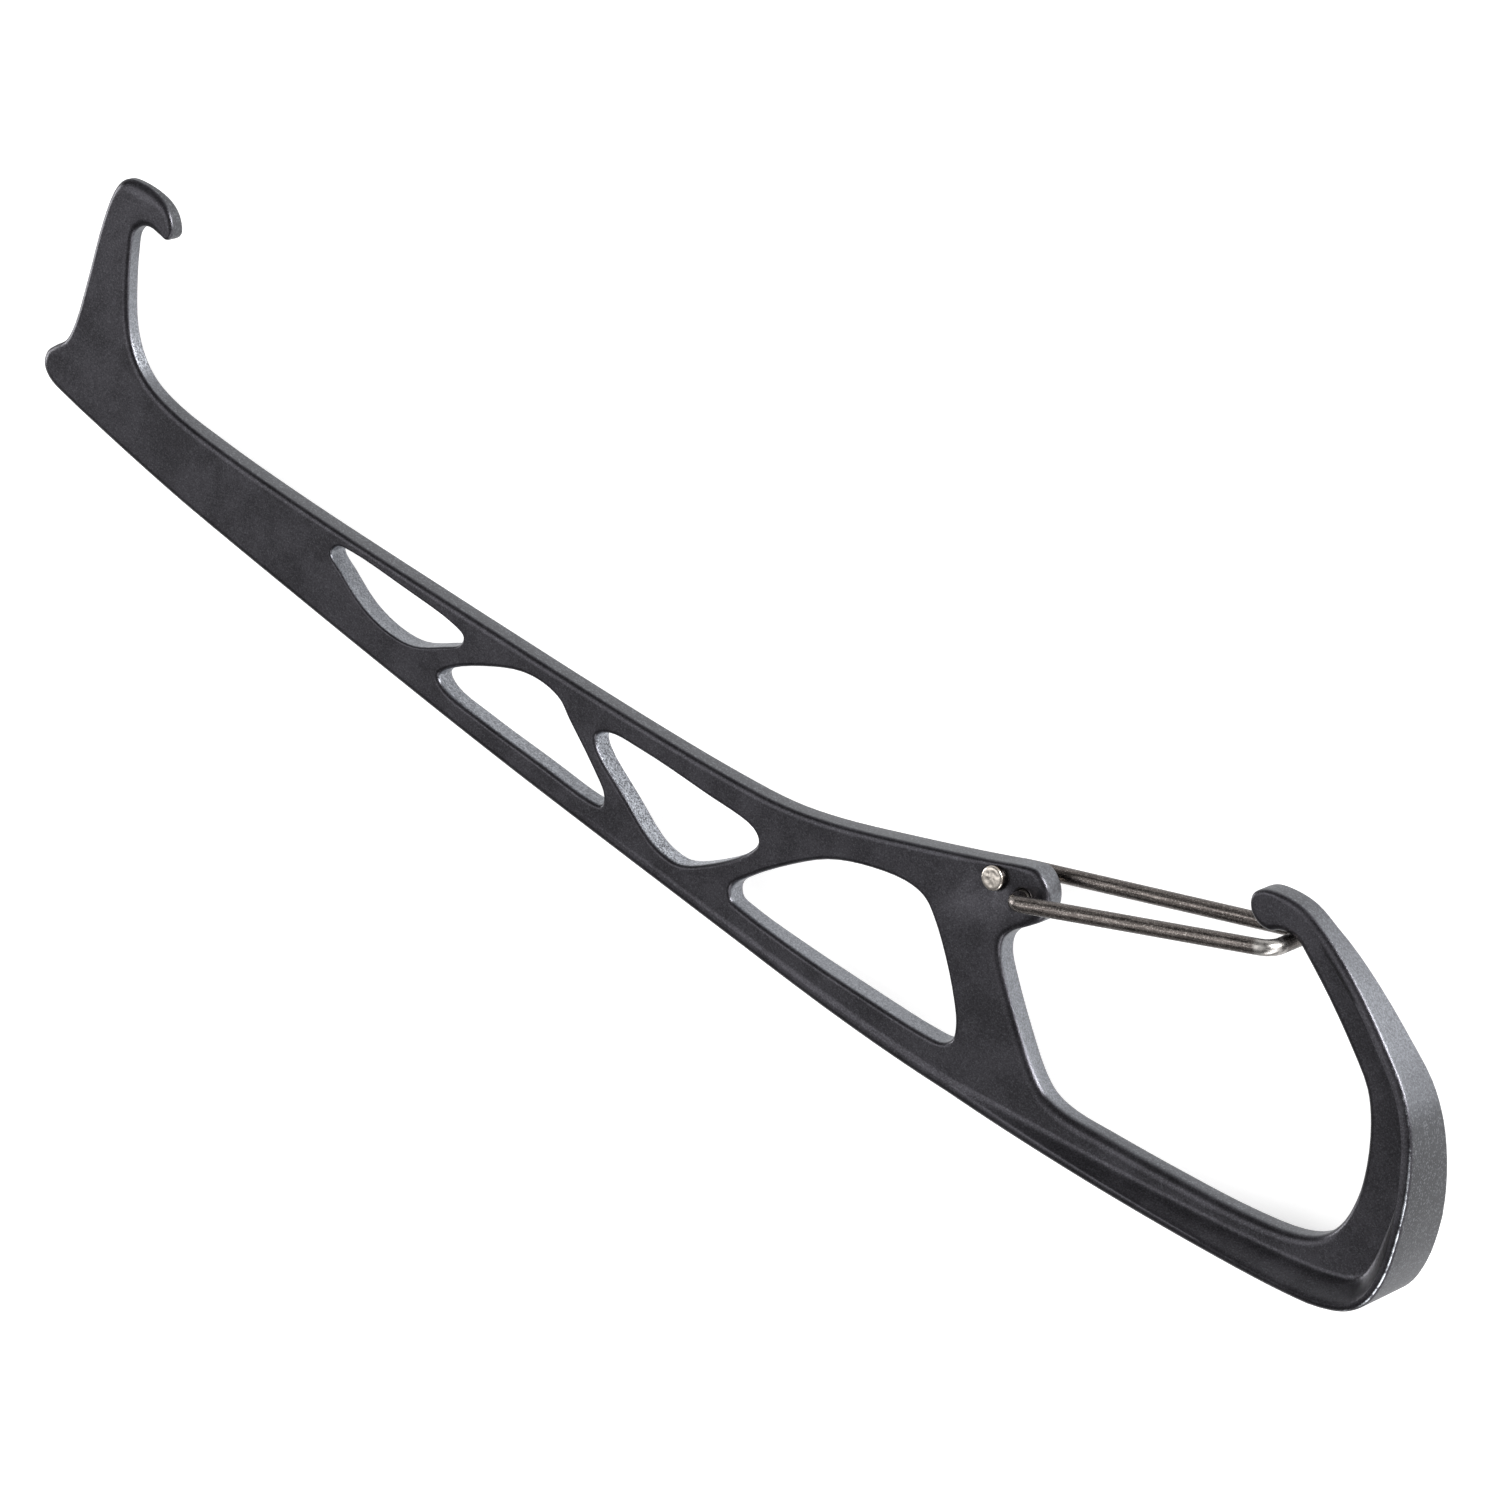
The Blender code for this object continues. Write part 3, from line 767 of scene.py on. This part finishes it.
def make_forging(settings, wire_radius):
    """One half of the forging by extruding rings of its outline, then mirrored."""
    piece = make_outer_half(settings)
    holes = [
        make_window_half(f"window_{number}", window, settings.window_edge * edge, finish)
        for number, (window, edge, finish) in enumerate(zip(WINDOWS, WINDOW_EDGES, WINDOW_SHEEN_AND_GRAIN))
    ]
    holes += [
        make_bore_half(f"bore_{number}", centre, wire_radius + BORE_CLEARANCE, wide)
        for number, (centre, wide) in enumerate(((NEAR_BORE, 1.0), (FAR_BORE, FAR_COUNTERSINK)))
    ]
    deselect_everything()
    for hole in holes:
        hole.select_set(True)
    piece.select_set(True)
    bpy.context.view_layer.objects.active = piece
    bpy.ops.object.join()
    bpy.ops.object.mode_set(mode="EDIT")
    fill_web(piece)
    bpy.ops.object.mode_set(mode="OBJECT")
    mirror = piece.modifiers.new("other_face", "MIRROR")
    mirror.use_axis = (False, False, True)
    mirror.merge_threshold = MERGE_REACH
    bpy.ops.object.modifier_apply(modifier=mirror.name)
    bpy.ops.object.mode_set(mode="EDIT")
    taper(piece, settings.edge_depth)
    merge_doubles()
    face_outward()
    return piece


# ------------------------------------------------------------------ the gate


def bend(start, turn_from, turn_to):
    """Points of a quarter turn of the wire from one direction to another."""
    points = []
    for step in range(BEND_STEPS + 1):
        angle = math.pi / 2 * step / BEND_STEPS
        along = turn_from * (WIRE_BEND * math.sin(angle))
        across = turn_to * (WIRE_BEND * (1 - math.cos(angle)))
        points.append(start + along + across)
    return points


def leg_path(bore, side):
    """Centre line of one leg, from above its bore to the middle of the crossbar."""
    up = Vector((0, 0, side))
    foot = Vector((*bore, 0))
    corner = Vector((*CROSSBAR, 0))
    ahead = (corner - foot).normalized()
    path = [foot + up * STUB_FOOT]
    path += bend(foot + up * (LEG_OFFSET - WIRE_BEND), up, ahead)
    start, end = path[-1], corner + up * LEG_OFFSET - ahead * WIRE_BEND
    path += [start.lerp(end, step / LEG_STEPS) for step in range(1, LEG_STEPS)]
    path += bend(end, ahead, -up)
    return path


def rings_along(path, radius):
    """Circles of points square to the path, and each one's distance along it."""
    across = None
    rings, along, travelled = [], [], 0.0
    for i, point in enumerate(path):
        before, after = path[max(0, i - 1)], path[min(len(path) - 1, i + 1)]
        tangent = (after - before).normalized()
        if across is None:
            across = tangent.orthogonal().normalized()
        across = (across - tangent * across.dot(tangent)).normalized()
        third = tangent.cross(across)
        travelled += (point - path[i - 1]).length if i else 0.0
        along.append(travelled)
        rings.append([
            point + radius * (across * math.cos(a) + third * math.sin(a))
            for a in (math.tau * k / WIRE_SIDES for k in range(WIRE_SIDES))
        ])
    return rings, along


def make_gate_wire(settings):
    """Both legs and the crossbar, extruded ring by ring along the bent wire."""
    path = leg_path(NEAR_BORE, 1) + leg_path(FAR_BORE, -1)[::-1]
    rings, along = rings_along(path, settings.wire_radius)
    piece = closed_piece("gate_wire_bent", rings, [0.0] * len(rings))
    mesh = mesh_in_edit(piece)
    around = mesh.verts.layers.float_vector.new("wire_place")
    for number, vert in enumerate(mesh.verts):
        angle = math.tau * (number % WIRE_SIDES) / WIRE_SIDES
        vert[around] = Vector((math.cos(angle), math.sin(angle), along[number // WIRE_SIDES]))
    bmesh.update_edit_mesh(piece.data)
    face_outward()
    return piece


def tail_profile(radius, head, height):
    """Radius, height, and painted shade and wear, of each ring of a wire end, from its foot to its
    head.
    """
    under = LOOP_THICKNESS / 2 + TAIL_GAP
    profile = [(radius * FOOT_SHARE, -under, 0.0), (radius, -under, 0.0), (radius, under, 0.0),
               (head - HEAD_CHAMFER, under, 1.0)]
    for step in range(HEAD_STEPS + 1):
        angle = math.pi / 2 * step / HEAD_STEPS
        profile.append((
            head - HEAD_SHOULDER * (1 - math.cos(angle)) ** HEAD_ROUNDNESS,
            under + HEAD_SKIRT + (height - (HEAD_SKIRT + HEAD_CROWN)) * math.sin(angle),
            1.0 - HEAD_SHADE_AND_WEAR_FADES * step / HEAD_STEPS,
        ))
    edge = head - HEAD_SHOULDER
    for step in range(1, CROWN_STEPS):
        share = step / CROWN_STEPS
        rise = HEAD_CROWN * ease(share)
        profile.append((edge * (1 - share), under + height - HEAD_CROWN + rise, 0.0))
    return profile


def make_tail(settings, name, bore, side):
    """The wire's end in its bore, with the head peened over on the other face."""
    head, turn = settings.head_radius, -side
    profile = tail_profile(settings.wire_radius, head, settings.head_height)
    rings = [
        on_level(circle(bore, radius, ROUND_SIDES), [turn * z] * ROUND_SIDES)
        for radius, z, _ in profile
    ]
    piece = closed_piece(name, rings, [tint for _, _, tint in profile])
    mesh = bmesh.from_edit_mesh(piece.data)
    for vert in mesh.verts:
        if vert.co.z * turn < LOOP_THICKNESS / 2 + TAIL_GAP + DIMPLES_FROM:
            continue
        for angle, out, across, deep in DIMPLES:
            a = math.radians(angle * side + DIMPLES_TURN)
            middle = Vector((
                bore[0] + head * out * math.cos(a), bore[1] + head * out * math.sin(a)))
            near = (vert.co.xy - middle).length / (head * across)
            vert.co.z -= turn * deep * ease(1 - near)
    bmesh.update_edit_mesh(piece.data)
    face_outward()
    return piece


# ----------------------------------------------------------------- materials


def wire_up(tree, kind, inputs=None, **settings):
    """A node with its settings and inputs. An input is a value or another's output."""
    node = tree.nodes.new(kind)
    for key, value in settings.items():
        setattr(node, key, value)
    for key, value in (inputs or {}).items():
        if isinstance(value, bpy.types.NodeSocket):
            tree.links.new(value, node.inputs[key])
        else:
            node.inputs[key].default_value = value
    return node


def maths(tree, operation, *values, clamp=False):
    """One sum of the shader, and its result."""
    return wire_up(tree, "ShaderNodeMath", dict(enumerate(values)), operation=operation,
                   use_clamp=clamp).outputs[0]


def product(tree, first, second):
    """Two values multiplied."""
    return maths(tree, "MULTIPLY", first, second)


def remap(tree, value, low, high, to_low=0.0, to_high=1.0, kind="SMOOTHSTEP"):
    """A value taken from one range to another, smoothly unless told, and within it."""
    return wire_up(tree, "ShaderNodeMapRange", {
        "Value": value, "From Min": low, "From Max": high, "To Min": to_low, "To Max": to_high,
    }, interpolation_type=kind).outputs[0]


def blend_colours(tree, factor, first, second, **settings):
    """Two colours mixed by a factor."""
    return wire_up(tree, "ShaderNodeMix", {0: factor, 6: first, 7: second},
                   data_type="RGBA", **settings).outputs[2]


def opaque(colour, share=1.0):
    """A colour for a socket, darker or lighter by a share."""
    return (*(Vector(colour) * share), 1.0)


def noise(tree, place, scale, detail=2.0, roughness=0.5):
    """Soft noise from 0 to 1."""
    return wire_up(tree, "ShaderNodeTexNoise", {
        "Vector": place, "Scale": scale, "Detail": detail, "Roughness": roughness,
    }).outputs["Fac"]


def mesh_value(tree, name):
    """A value that the mesh carries from point to point."""
    return wire_up(tree, "ShaderNodeAttribute", attribute_name=name).outputs["Fac"]


def height_of(tree, vector):
    """The Z of a vector."""
    return wire_up(tree, "ShaderNodeSeparateXYZ", {"Vector": vector}).outputs["Z"]


def new_effect(name, inputs, outputs):
    """An empty node group and its two end nodes. An input with no value is a vector."""
    group = bpy.data.node_groups.new(name, "ShaderNodeTree")
    for label, value in inputs.items():
        kind = "NodeSocketVector" if value is None else "NodeSocketFloat"
        socket = group.interface.new_socket(label, in_out="INPUT", socket_type=kind)
        if value is not None:
            socket.default_value = value
    for label in outputs:
        group.interface.new_socket(label, in_out="OUTPUT", socket_type="NodeSocketFloat")
    return group, group.nodes.new("NodeGroupInput"), group.nodes.new("NodeGroupOutput")


def blasted_grain(name):
    """Fine pits that blasting leaves on metal, spots for painted glints, and a broad tone."""
    group, given, result = new_effect(
        name, {"Place": None, "Scale": 4000.0}, ("Height", "Sparkle", "Tone"))
    place, scale = given.outputs["Place"], given.outputs["Scale"]
    fine = noise(group, place, scale, 3.0, 0.6)
    cells = wire_up(group, "ShaderNodeTexVoronoi", {
        "Vector": place, "Scale": product(group, scale, 1.3)}).outputs["Color"]
    lot = wire_up(group, "ShaderNodeSeparateColor", {"Color": cells}).outputs[0]
    broad = noise(group, place, product(group, scale, 0.04), 4.0, 0.55)
    group.links.new(fine, result.inputs["Height"])
    group.links.new(remap(group, lot, 0.7, 1.0), result.inputs["Sparkle"])
    group.links.new(remap(group, broad, 0.32, 0.68), result.inputs["Tone"])
    return group


def edge_wear_and_light_mask(name):
    """Chips and rubbed spots along marked edges, as a mask: it lays the forging's painted edge
    highlight with its wear, and the painted shade and wear round the foot of a head.
    """
    group, given, result = new_effect(
        name, {"Place": None, "Edge": 0.0, "Scale": 900.0, "Amount": 0.5}, ("Wear",))
    chipping = noise(group, given.outputs["Place"], given.outputs["Scale"], 5.0, 0.7)
    depth = remap(group, chipping, 0.0, 1.0, 0.3, 0.7, kind="LINEAR")
    chips = product(group, given.outputs["Edge"], depth)
    start = maths(group, "SUBTRACT", 0.75, product(group, given.outputs["Amount"], 0.4))
    over = maths(group, "SUBTRACT", chips, start)
    group.links.new(maths(group, "MULTIPLY", over, 12.0, clamp=True), result.inputs["Wear"])
    return group


def drawn_streaks(name):
    """Long streaks of a wire pulled through a die, and the blotches on it."""
    group, given, result = new_effect(
        name, {"Place": None, "Scale": 1.0}, ("Streak", "Blotch"))
    place, scale = given.outputs["Place"], given.outputs["Scale"]
    stretched = wire_up(group, "ShaderNodeVectorMath", {
        0: place, 1: (1.0, 1.0, 0.06)}, operation="MULTIPLY").outputs[0]
    streak = noise(group, stretched, product(group, scale, 6.0), 4.0, 0.65)
    blotch = noise(group, place, product(group, scale, 2.2), 5.0, 0.7)
    group.links.new(remap(group, streak, 0.35, 0.65), result.inputs["Streak"])
    group.links.new(remap(group, blotch, 0.35, 0.65), result.inputs["Blotch"])
    return group


EFFECTS = {
    "Blasted grain": blasted_grain, "Worn edge": edge_wear_and_light_mask, "Drawn streaks": drawn_streaks,
}


def use_effect(tree, name, inputs):
    """A placed copy of a shared effect, which is made the first time it is used."""
    group = bpy.data.node_groups.get(name) or EFFECTS[name](name)
    return wire_up(tree, "ShaderNodeGroup", inputs, node_tree=group).outputs


def new_material(name):
    """A material with its shader and tree, ready for nodes."""
    material = bpy.data.materials.new(name)
    material.use_nodes = True
    tree = material.node_tree
    place = wire_up(tree, "ShaderNodeTexCoord").outputs["Object"]
    return material, tree, tree.nodes["Principled BSDF"], place


def connect(tree, shader, colour, roughness, metallic, height, bump):
    """Feeds the finished colour, roughness and bump to the shader."""
    tree.links.new(colour, shader.inputs["Base Color"])
    tree.links.new(roughness, shader.inputs["Roughness"])
    shader.inputs["Metallic"].default_value = metallic
    strength, distance = bump
    raised = wire_up(tree, "ShaderNodeBump", {
        "Height": height, "Strength": strength, "Distance": distance}).outputs[0]
    tree.links.new(raised, shader.inputs["Normal"])


def forging_material(settings):
    """Blasted and anodised metal: dark faces with painted glints, brighter grainy walls lifted to
    silver by painted reflection, and a painted highlight along the edges broken by chips of wear.
    """
    material, tree, shader, place = new_material("anodised_forging")
    normal = wire_up(tree, "ShaderNodeNewGeometry").outputs["Normal"]
    upright = maths(tree, "ABSOLUTE", height_of(tree, normal))
    wall = remap(tree, upright, WALL_SLOPE, FACE_SLOPE, 1.0, 0.0)
    # How far each wall is lifted to silver by painted reflection
    silver = mesh_value(tree, "wall_finish")
    face_grain = use_effect(tree, "Blasted grain", {"Place": place, "Scale": FACE_GRAIN})
    wall_grain = use_effect(tree, "Blasted grain", {"Place": place, "Scale": WALL_GRAIN})
    wear_and_painted_light = use_effect(tree, "Worn edge", {
        "Place": place, "Edge": mesh_value(tree, "edge_wear"), "Scale": FORGING_CHIPS,
        "Amount": FORGING_WEAR_AND_HIGHLIGHT})["Wear"]
    bright = opaque(settings.glint_colour)

    # Faces: fine and broad mottling, with a few painted glints
    tone = maths(tree, "ADD", product(tree, face_grain["Height"], 0.85),
                 product(tree, face_grain["Tone"], 0.15))
    faces = blend_colours(tree, remap(tree, tone, 0.25, 0.75),
                          opaque(settings.face_colour, 0.55), opaque(settings.face_colour, 1.45))
    faces = blend_colours(tree, product(tree, face_grain["Sparkle"], 0.035), faces, bright)

    # Walls: from grey to silver by their painted reflection, with dark pits and painted glints
    walls = blend_colours(tree, silver, opaque(settings.wall_colour),
                          opaque(settings.silver_colour))
    pits = remap(tree, wall_grain["Height"], 0.38, 0.6, 0.8, 0.0)
    pits = product(tree, pits, remap(tree, silver, 0.4, 1.0, 0.45, 1.0))
    walls = blend_colours(tree, pits, walls, opaque(settings.face_colour))
    share = remap(tree, silver, 0.45, 0.9, 0.15, 0.95)
    walls = blend_colours(tree, product(tree, wall_grain["Sparkle"], share), walls, bright)

    colour = blend_colours(tree, wall, faces, walls)
    # Painted highlight along the rounded edges, broken by chips of wear
    colour = blend_colours(tree, product(tree, wear_and_painted_light, 0.5), colour, bright)
    rough = remap(tree, face_grain["Tone"], 0.0, 1.0, *FACE_ROUGHNESS)
    rough = maths(tree, "ADD", rough, product(tree, wall, 0.12))
    rough = maths(tree, "SUBTRACT", rough, product(tree, wear_and_painted_light, 0.08))
    deep = product(tree, wall, remap(tree, silver, 0.0, 1.0, 0.8, 2.2))
    height = maths(tree, "ADD", product(tree, face_grain["Height"], 0.7),
                   product(tree, deep, wall_grain["Height"]))
    connect(tree, shader, colour, rough, FORGING_METALLIC, height, FORGING_BUMP)
    return material


def wire_material(settings):
    """Drawn steel wire: lengthwise streaks, brown-grey blotches, satin, and painted glints."""
    material, tree, shader, place = new_material("drawn_wire")
    along = wire_up(tree, "ShaderNodeAttribute", attribute_name="wire_place").outputs["Vector"]
    drawn = use_effect(tree, "Drawn streaks", {"Place": along, "Scale": 1.0})
    grain = use_effect(tree, "Blasted grain", {"Place": place, "Scale": WIRE_GRAIN})
    colour = blend_colours(tree, drawn["Streak"], opaque(settings.wire_colour, 0.3),
                           opaque(settings.wire_colour, 1.6))
    colour = blend_colours(tree, product(tree, drawn["Blotch"], 0.6), colour,
                           opaque(settings.wire_colour))
    # Painted glints on the wire
    colour = blend_colours(tree, product(tree, grain["Sparkle"], 0.35), colour,
                           opaque(WIRE_GLINT))
    from_middle = maths(tree, "ABSOLUTE", maths(
        tree, "SUBTRACT", height_of(tree, along), CROSSBAR_ALONG))
    bends = product(tree, remap(tree, from_middle, *BEND_STARTS),
                    remap(tree, from_middle, *BEND_ENDS, 1.0, 0.0))
    rubbed = product(tree, bends, remap(tree, drawn["Blotch"], 0.0, 1.0, 0.7, 1.0))
    colour = blend_colours(tree, rubbed, colour, opaque(WIRE_RUBBED))
    rough = remap(tree, drawn["Blotch"], 0.0, 1.0, *WIRE_ROUGHNESS)
    height = maths(tree, "ADD", product(tree, drawn["Streak"], 0.6), grain["Height"])
    connect(tree, shader, colour, rough, 1.0, height, WIRE_BUMP)
    return material


def head_material(settings):
    """Peened steel: bright and dimpled, with painted shade and wear in brown patches round the
    foot of the head.
    """
    material, tree, shader, place = new_material("peened_head")
    grain = use_effect(tree, "Blasted grain", {"Place": place, "Scale": HEAD_GRAIN})
    wear_and_painted_light = use_effect(tree, "Worn edge", {
        "Place": place, "Edge": mesh_value(tree, "edge_wear"), "Scale": HEAD_CHIPS,
        "Amount": HEAD_SHADE_AND_WEAR})["Wear"]
    colour = blend_colours(tree, grain["Tone"], opaque(settings.head_colour, 0.55),
                           opaque(settings.head_colour))
    # Painted shade and wear: brown patches round the foot of the head, where it meets the face
    colour = blend_colours(tree, product(tree, wear_and_painted_light, 0.8), colour, opaque(HEAD_FOOT_SHADE_AND_WEAR))
    rough = remap(tree, grain["Tone"], 0.0, 1.0, *HEAD_ROUGHNESS)
    connect(tree, shader, colour, rough, 1.0, grain["Height"], HEAD_BUMP)
    return material


# ------------------------------------------------------------------ the stage


def add_area_lamp(name, place, size, power):
    """A broad lamp, of this width and height, that faces the tool."""
    deselect_everything()
    bpy.ops.object.light_add(type="AREA", location=place)
    lamp = bpy.context.active_object
    lamp.name = lamp.data.name = name
    lamp.data.shape = "RECTANGLE"
    lamp.data.size, lamp.data.size_y = size
    lamp.data.energy = power
    lamp.rotation_euler = (Vector(LAMP_AIM) - Vector(place)).to_track_quat("-Z", "Y").to_euler()
    lamp.data.use_shadow = True


def gloss_rays(tree, path):
    """1 for a ray that comes from gloss or glass, and 0 for any other."""
    return maths(tree, "MAXIMUM", path["Is Glossy Ray"], path["Is Transmission Ray"])


def mix_shaders(tree, share, first, second):
    """Two shaders mixed by a share."""
    return wire_up(tree, "ShaderNodeMixShader", {0: share, 1: first, 2: second}).outputs[0]


def floor_material(settings):
    """Pale floor that reads white to the eye and in gloss, and keeps its shadow."""
    material, tree, shader, place = new_material("studio_floor")
    tree.nodes.remove(shader)
    level = remap(tree, noise(tree, place, FLOOR_GRAIN), 0.0, 1.0, 0.97, 1.0)
    colour = blend_colours(tree, 1.0, opaque(settings.floor_colour), level, blend_type="MULTIPLY")
    matt = wire_up(tree, "ShaderNodeBsdfDiffuse", {"Color": colour}).outputs[0]
    glow, white = (
        wire_up(tree, "ShaderNodeEmission", {"Color": WHITE, "Strength": strength}).outputs[0]
        for strength in (FLOOR_GLOW, 1.0)
    )
    path = wire_up(tree, "ShaderNodeLightPath").outputs
    lifted = wire_up(tree, "ShaderNodeAddShader", {0: matt, 1: glow}).outputs[0]
    seen = mix_shaders(tree, path["Is Camera Ray"], matt, lifted)
    shown = mix_shaders(tree, gloss_rays(tree, path), seen, white)
    tree.links.new(shown, tree.nodes["Material Output"].inputs["Surface"])
    return material


def studio_world(settings):
    """Dim soft room, white to the camera and, low down, in gloss."""
    world = bpy.data.worlds.new("studio")
    bpy.context.scene.world = world
    world.use_nodes = True
    tree = world.node_tree
    tree.nodes.clear()
    direction = wire_up(tree, "ShaderNodeTexCoord").outputs["Generated"]
    low = remap(tree, height_of(tree, direction), *GLOSS_FADES, 1.0, 0.0)
    path = wire_up(tree, "ShaderNodeLightPath").outputs
    share = product(tree, gloss_rays(tree, path), low)
    share = maths(tree, "MAXIMUM", share, path["Is Camera Ray"])
    facing = wire_up(tree, "ShaderNodeVectorMath", {
        0: direction, 1: LIGHT_SIDE}, operation="DOT_PRODUCT").outputs["Value"]
    level = remap(tree, facing, *LIGHT_REACH, settings.room_light, settings.window_light)
    room, white = (
        wire_up(tree, "ShaderNodeBackground", {"Color": WHITE, "Strength": strength}).outputs[0]
        for strength in (level, 1.0)
    )
    output = tree.nodes.new("ShaderNodeOutputWorld")
    tree.links.new(mix_shaders(tree, share, room, white), output.inputs["Surface"])


def set_camera():
    """The camera at the photograph's viewing angle."""
    deselect_everything()
    turn = [math.radians(angle) for angle in CAMERA_TURN]
    bpy.ops.object.camera_add(location=CAMERA_PLACE, rotation=turn)
    camera = bpy.context.active_object
    camera.name = camera.data.name = "main_camera"
    camera.data.lens = CAMERA_LENS
    camera.data.sensor_width = SENSOR_WIDTH
    camera.data.clip_start = CLIP_START
    bpy.context.scene.camera = camera


# -------------------------------------------------------------- the operators


class NUTTOOL_OT_forging(bpy.types.Operator):
    """Build the forging, with its rim, windows, hook and bores."""

    bl_idname = "nuttool.forging"
    bl_label = "Forging"

    def execute(self, context):
        scene = context.scene
        piece = make_forging(scene.nut_tool_forging, scene.nut_tool_gate.wire_radius)
        finish_piece(piece, "forging", ["forged_body"],
                     forging_material(scene.nut_tool_forging))
        return {"FINISHED"}


class NUTTOOL_OT_gate_wire(bpy.types.Operator):
    """Bend the gate wire from the near bore to the far bore."""

    bl_idname = "nuttool.gate_wire"
    bl_label = "Gate wire"

    def execute(self, context):
        settings = context.scene.nut_tool_gate
        finish_piece(make_gate_wire(settings), "gate", ["gate_wire"],
                     wire_material(settings))
        return {"FINISHED"}


class NUTTOOL_OT_gate_tails(bpy.types.Operator):
    """Turn the two wire ends and peen their heads."""

    bl_idname = "nuttool.gate_tails"
    bl_label = "Gate tails"

    def execute(self, context):
        settings = context.scene.nut_tool_gate
        material = head_material(settings)
        for end, bore, side in (("near", NEAR_BORE, 1), ("far", FAR_BORE, -1)):
            piece = make_tail(settings, f"peened_tail_{end}", bore, side)
            finish_piece(piece, f"tail_{end}", [f"gate_tail_{end}"], material)
        return {"FINISHED"}


class NUTTOOL_OT_stage(bpy.types.Operator):
    """Lay the floor, hang the lamps and set the camera."""

    bl_idname = "nuttool.stage"
    bl_label = "Stage"

    def execute(self, context):
        settings = context.scene.nut_tool_stage
        deselect_everything()
        bpy.ops.mesh.primitive_plane_add(size=FLOOR_SIZE, location=(0.0, 0.0, 0.0))
        floor = context.active_object
        floor.name = floor.data.name = "studio_floor"
        floor.data.materials.append(floor_material(settings))
        for name, place, size in LAMPS:
            add_area_lamp(name, place, size, getattr(settings, name))
        studio_world(settings)
        set_camera()
        context.scene.view_settings.view_transform = "Standard"
        return {"FINISHED"}


class NUTTOOL_PT_panel(bpy.types.Panel):
    """Lists the pieces of the nut tool and their settings."""

    bl_idname = "NUTTOOL_PT_panel"
    bl_label = "Nut tool"
    bl_space_type = "VIEW_3D"
    bl_region_type = "UI"
    bl_category = "Nut tool"

    def draw(self, context):
        for operators, settings in PANEL_ROWS:
            column = self.layout.column(align=True)
            for operator in operators:
                column.operator(operator.bl_idname)
            group = getattr(context.scene, settings)
            for name in group.bl_rna.properties.keys():
                if name not in ("rna_type", "name"):
                    column.prop(group, name)


OPERATORS = (NUTTOOL_OT_forging, NUTTOOL_OT_gate_wire, NUTTOOL_OT_gate_tails, NUTTOOL_OT_stage)
GROUPS = {
    "nut_tool_forging": NutToolForging,
    "nut_tool_gate": NutToolGate,
    "nut_tool_stage": NutToolStage,
}
PANEL_ROWS = (
    (OPERATORS[:1], "nut_tool_forging"),
    (OPERATORS[1:3], "nut_tool_gate"),
    (OPERATORS[3:], "nut_tool_stage"),
)


def register():
    """Registers the settings, the operators and the panel."""
    for name, group in GROUPS.items():
        bpy.utils.register_class(group)
        setattr(bpy.types.Scene, name, PointerProperty(type=group))
    for cls in (*OPERATORS, NUTTOOL_PT_panel):
        bpy.utils.register_class(cls)


def unregister():
    """Takes away what register() added."""
    for cls in (NUTTOOL_PT_panel, *reversed(OPERATORS)):
        bpy.utils.unregister_class(cls)
    for name, group in GROUPS.items():
        delattr(bpy.types.Scene, name)
        bpy.utils.unregister_class(group)


def main():
    """Makes every piece in order."""
    register()
    bpy.ops.nuttool.forging()
    bpy.ops.nuttool.gate_wire()
    bpy.ops.nuttool.gate_tails()
    bpy.ops.nuttool.stage()


if __name__ == "__main__":
    main()
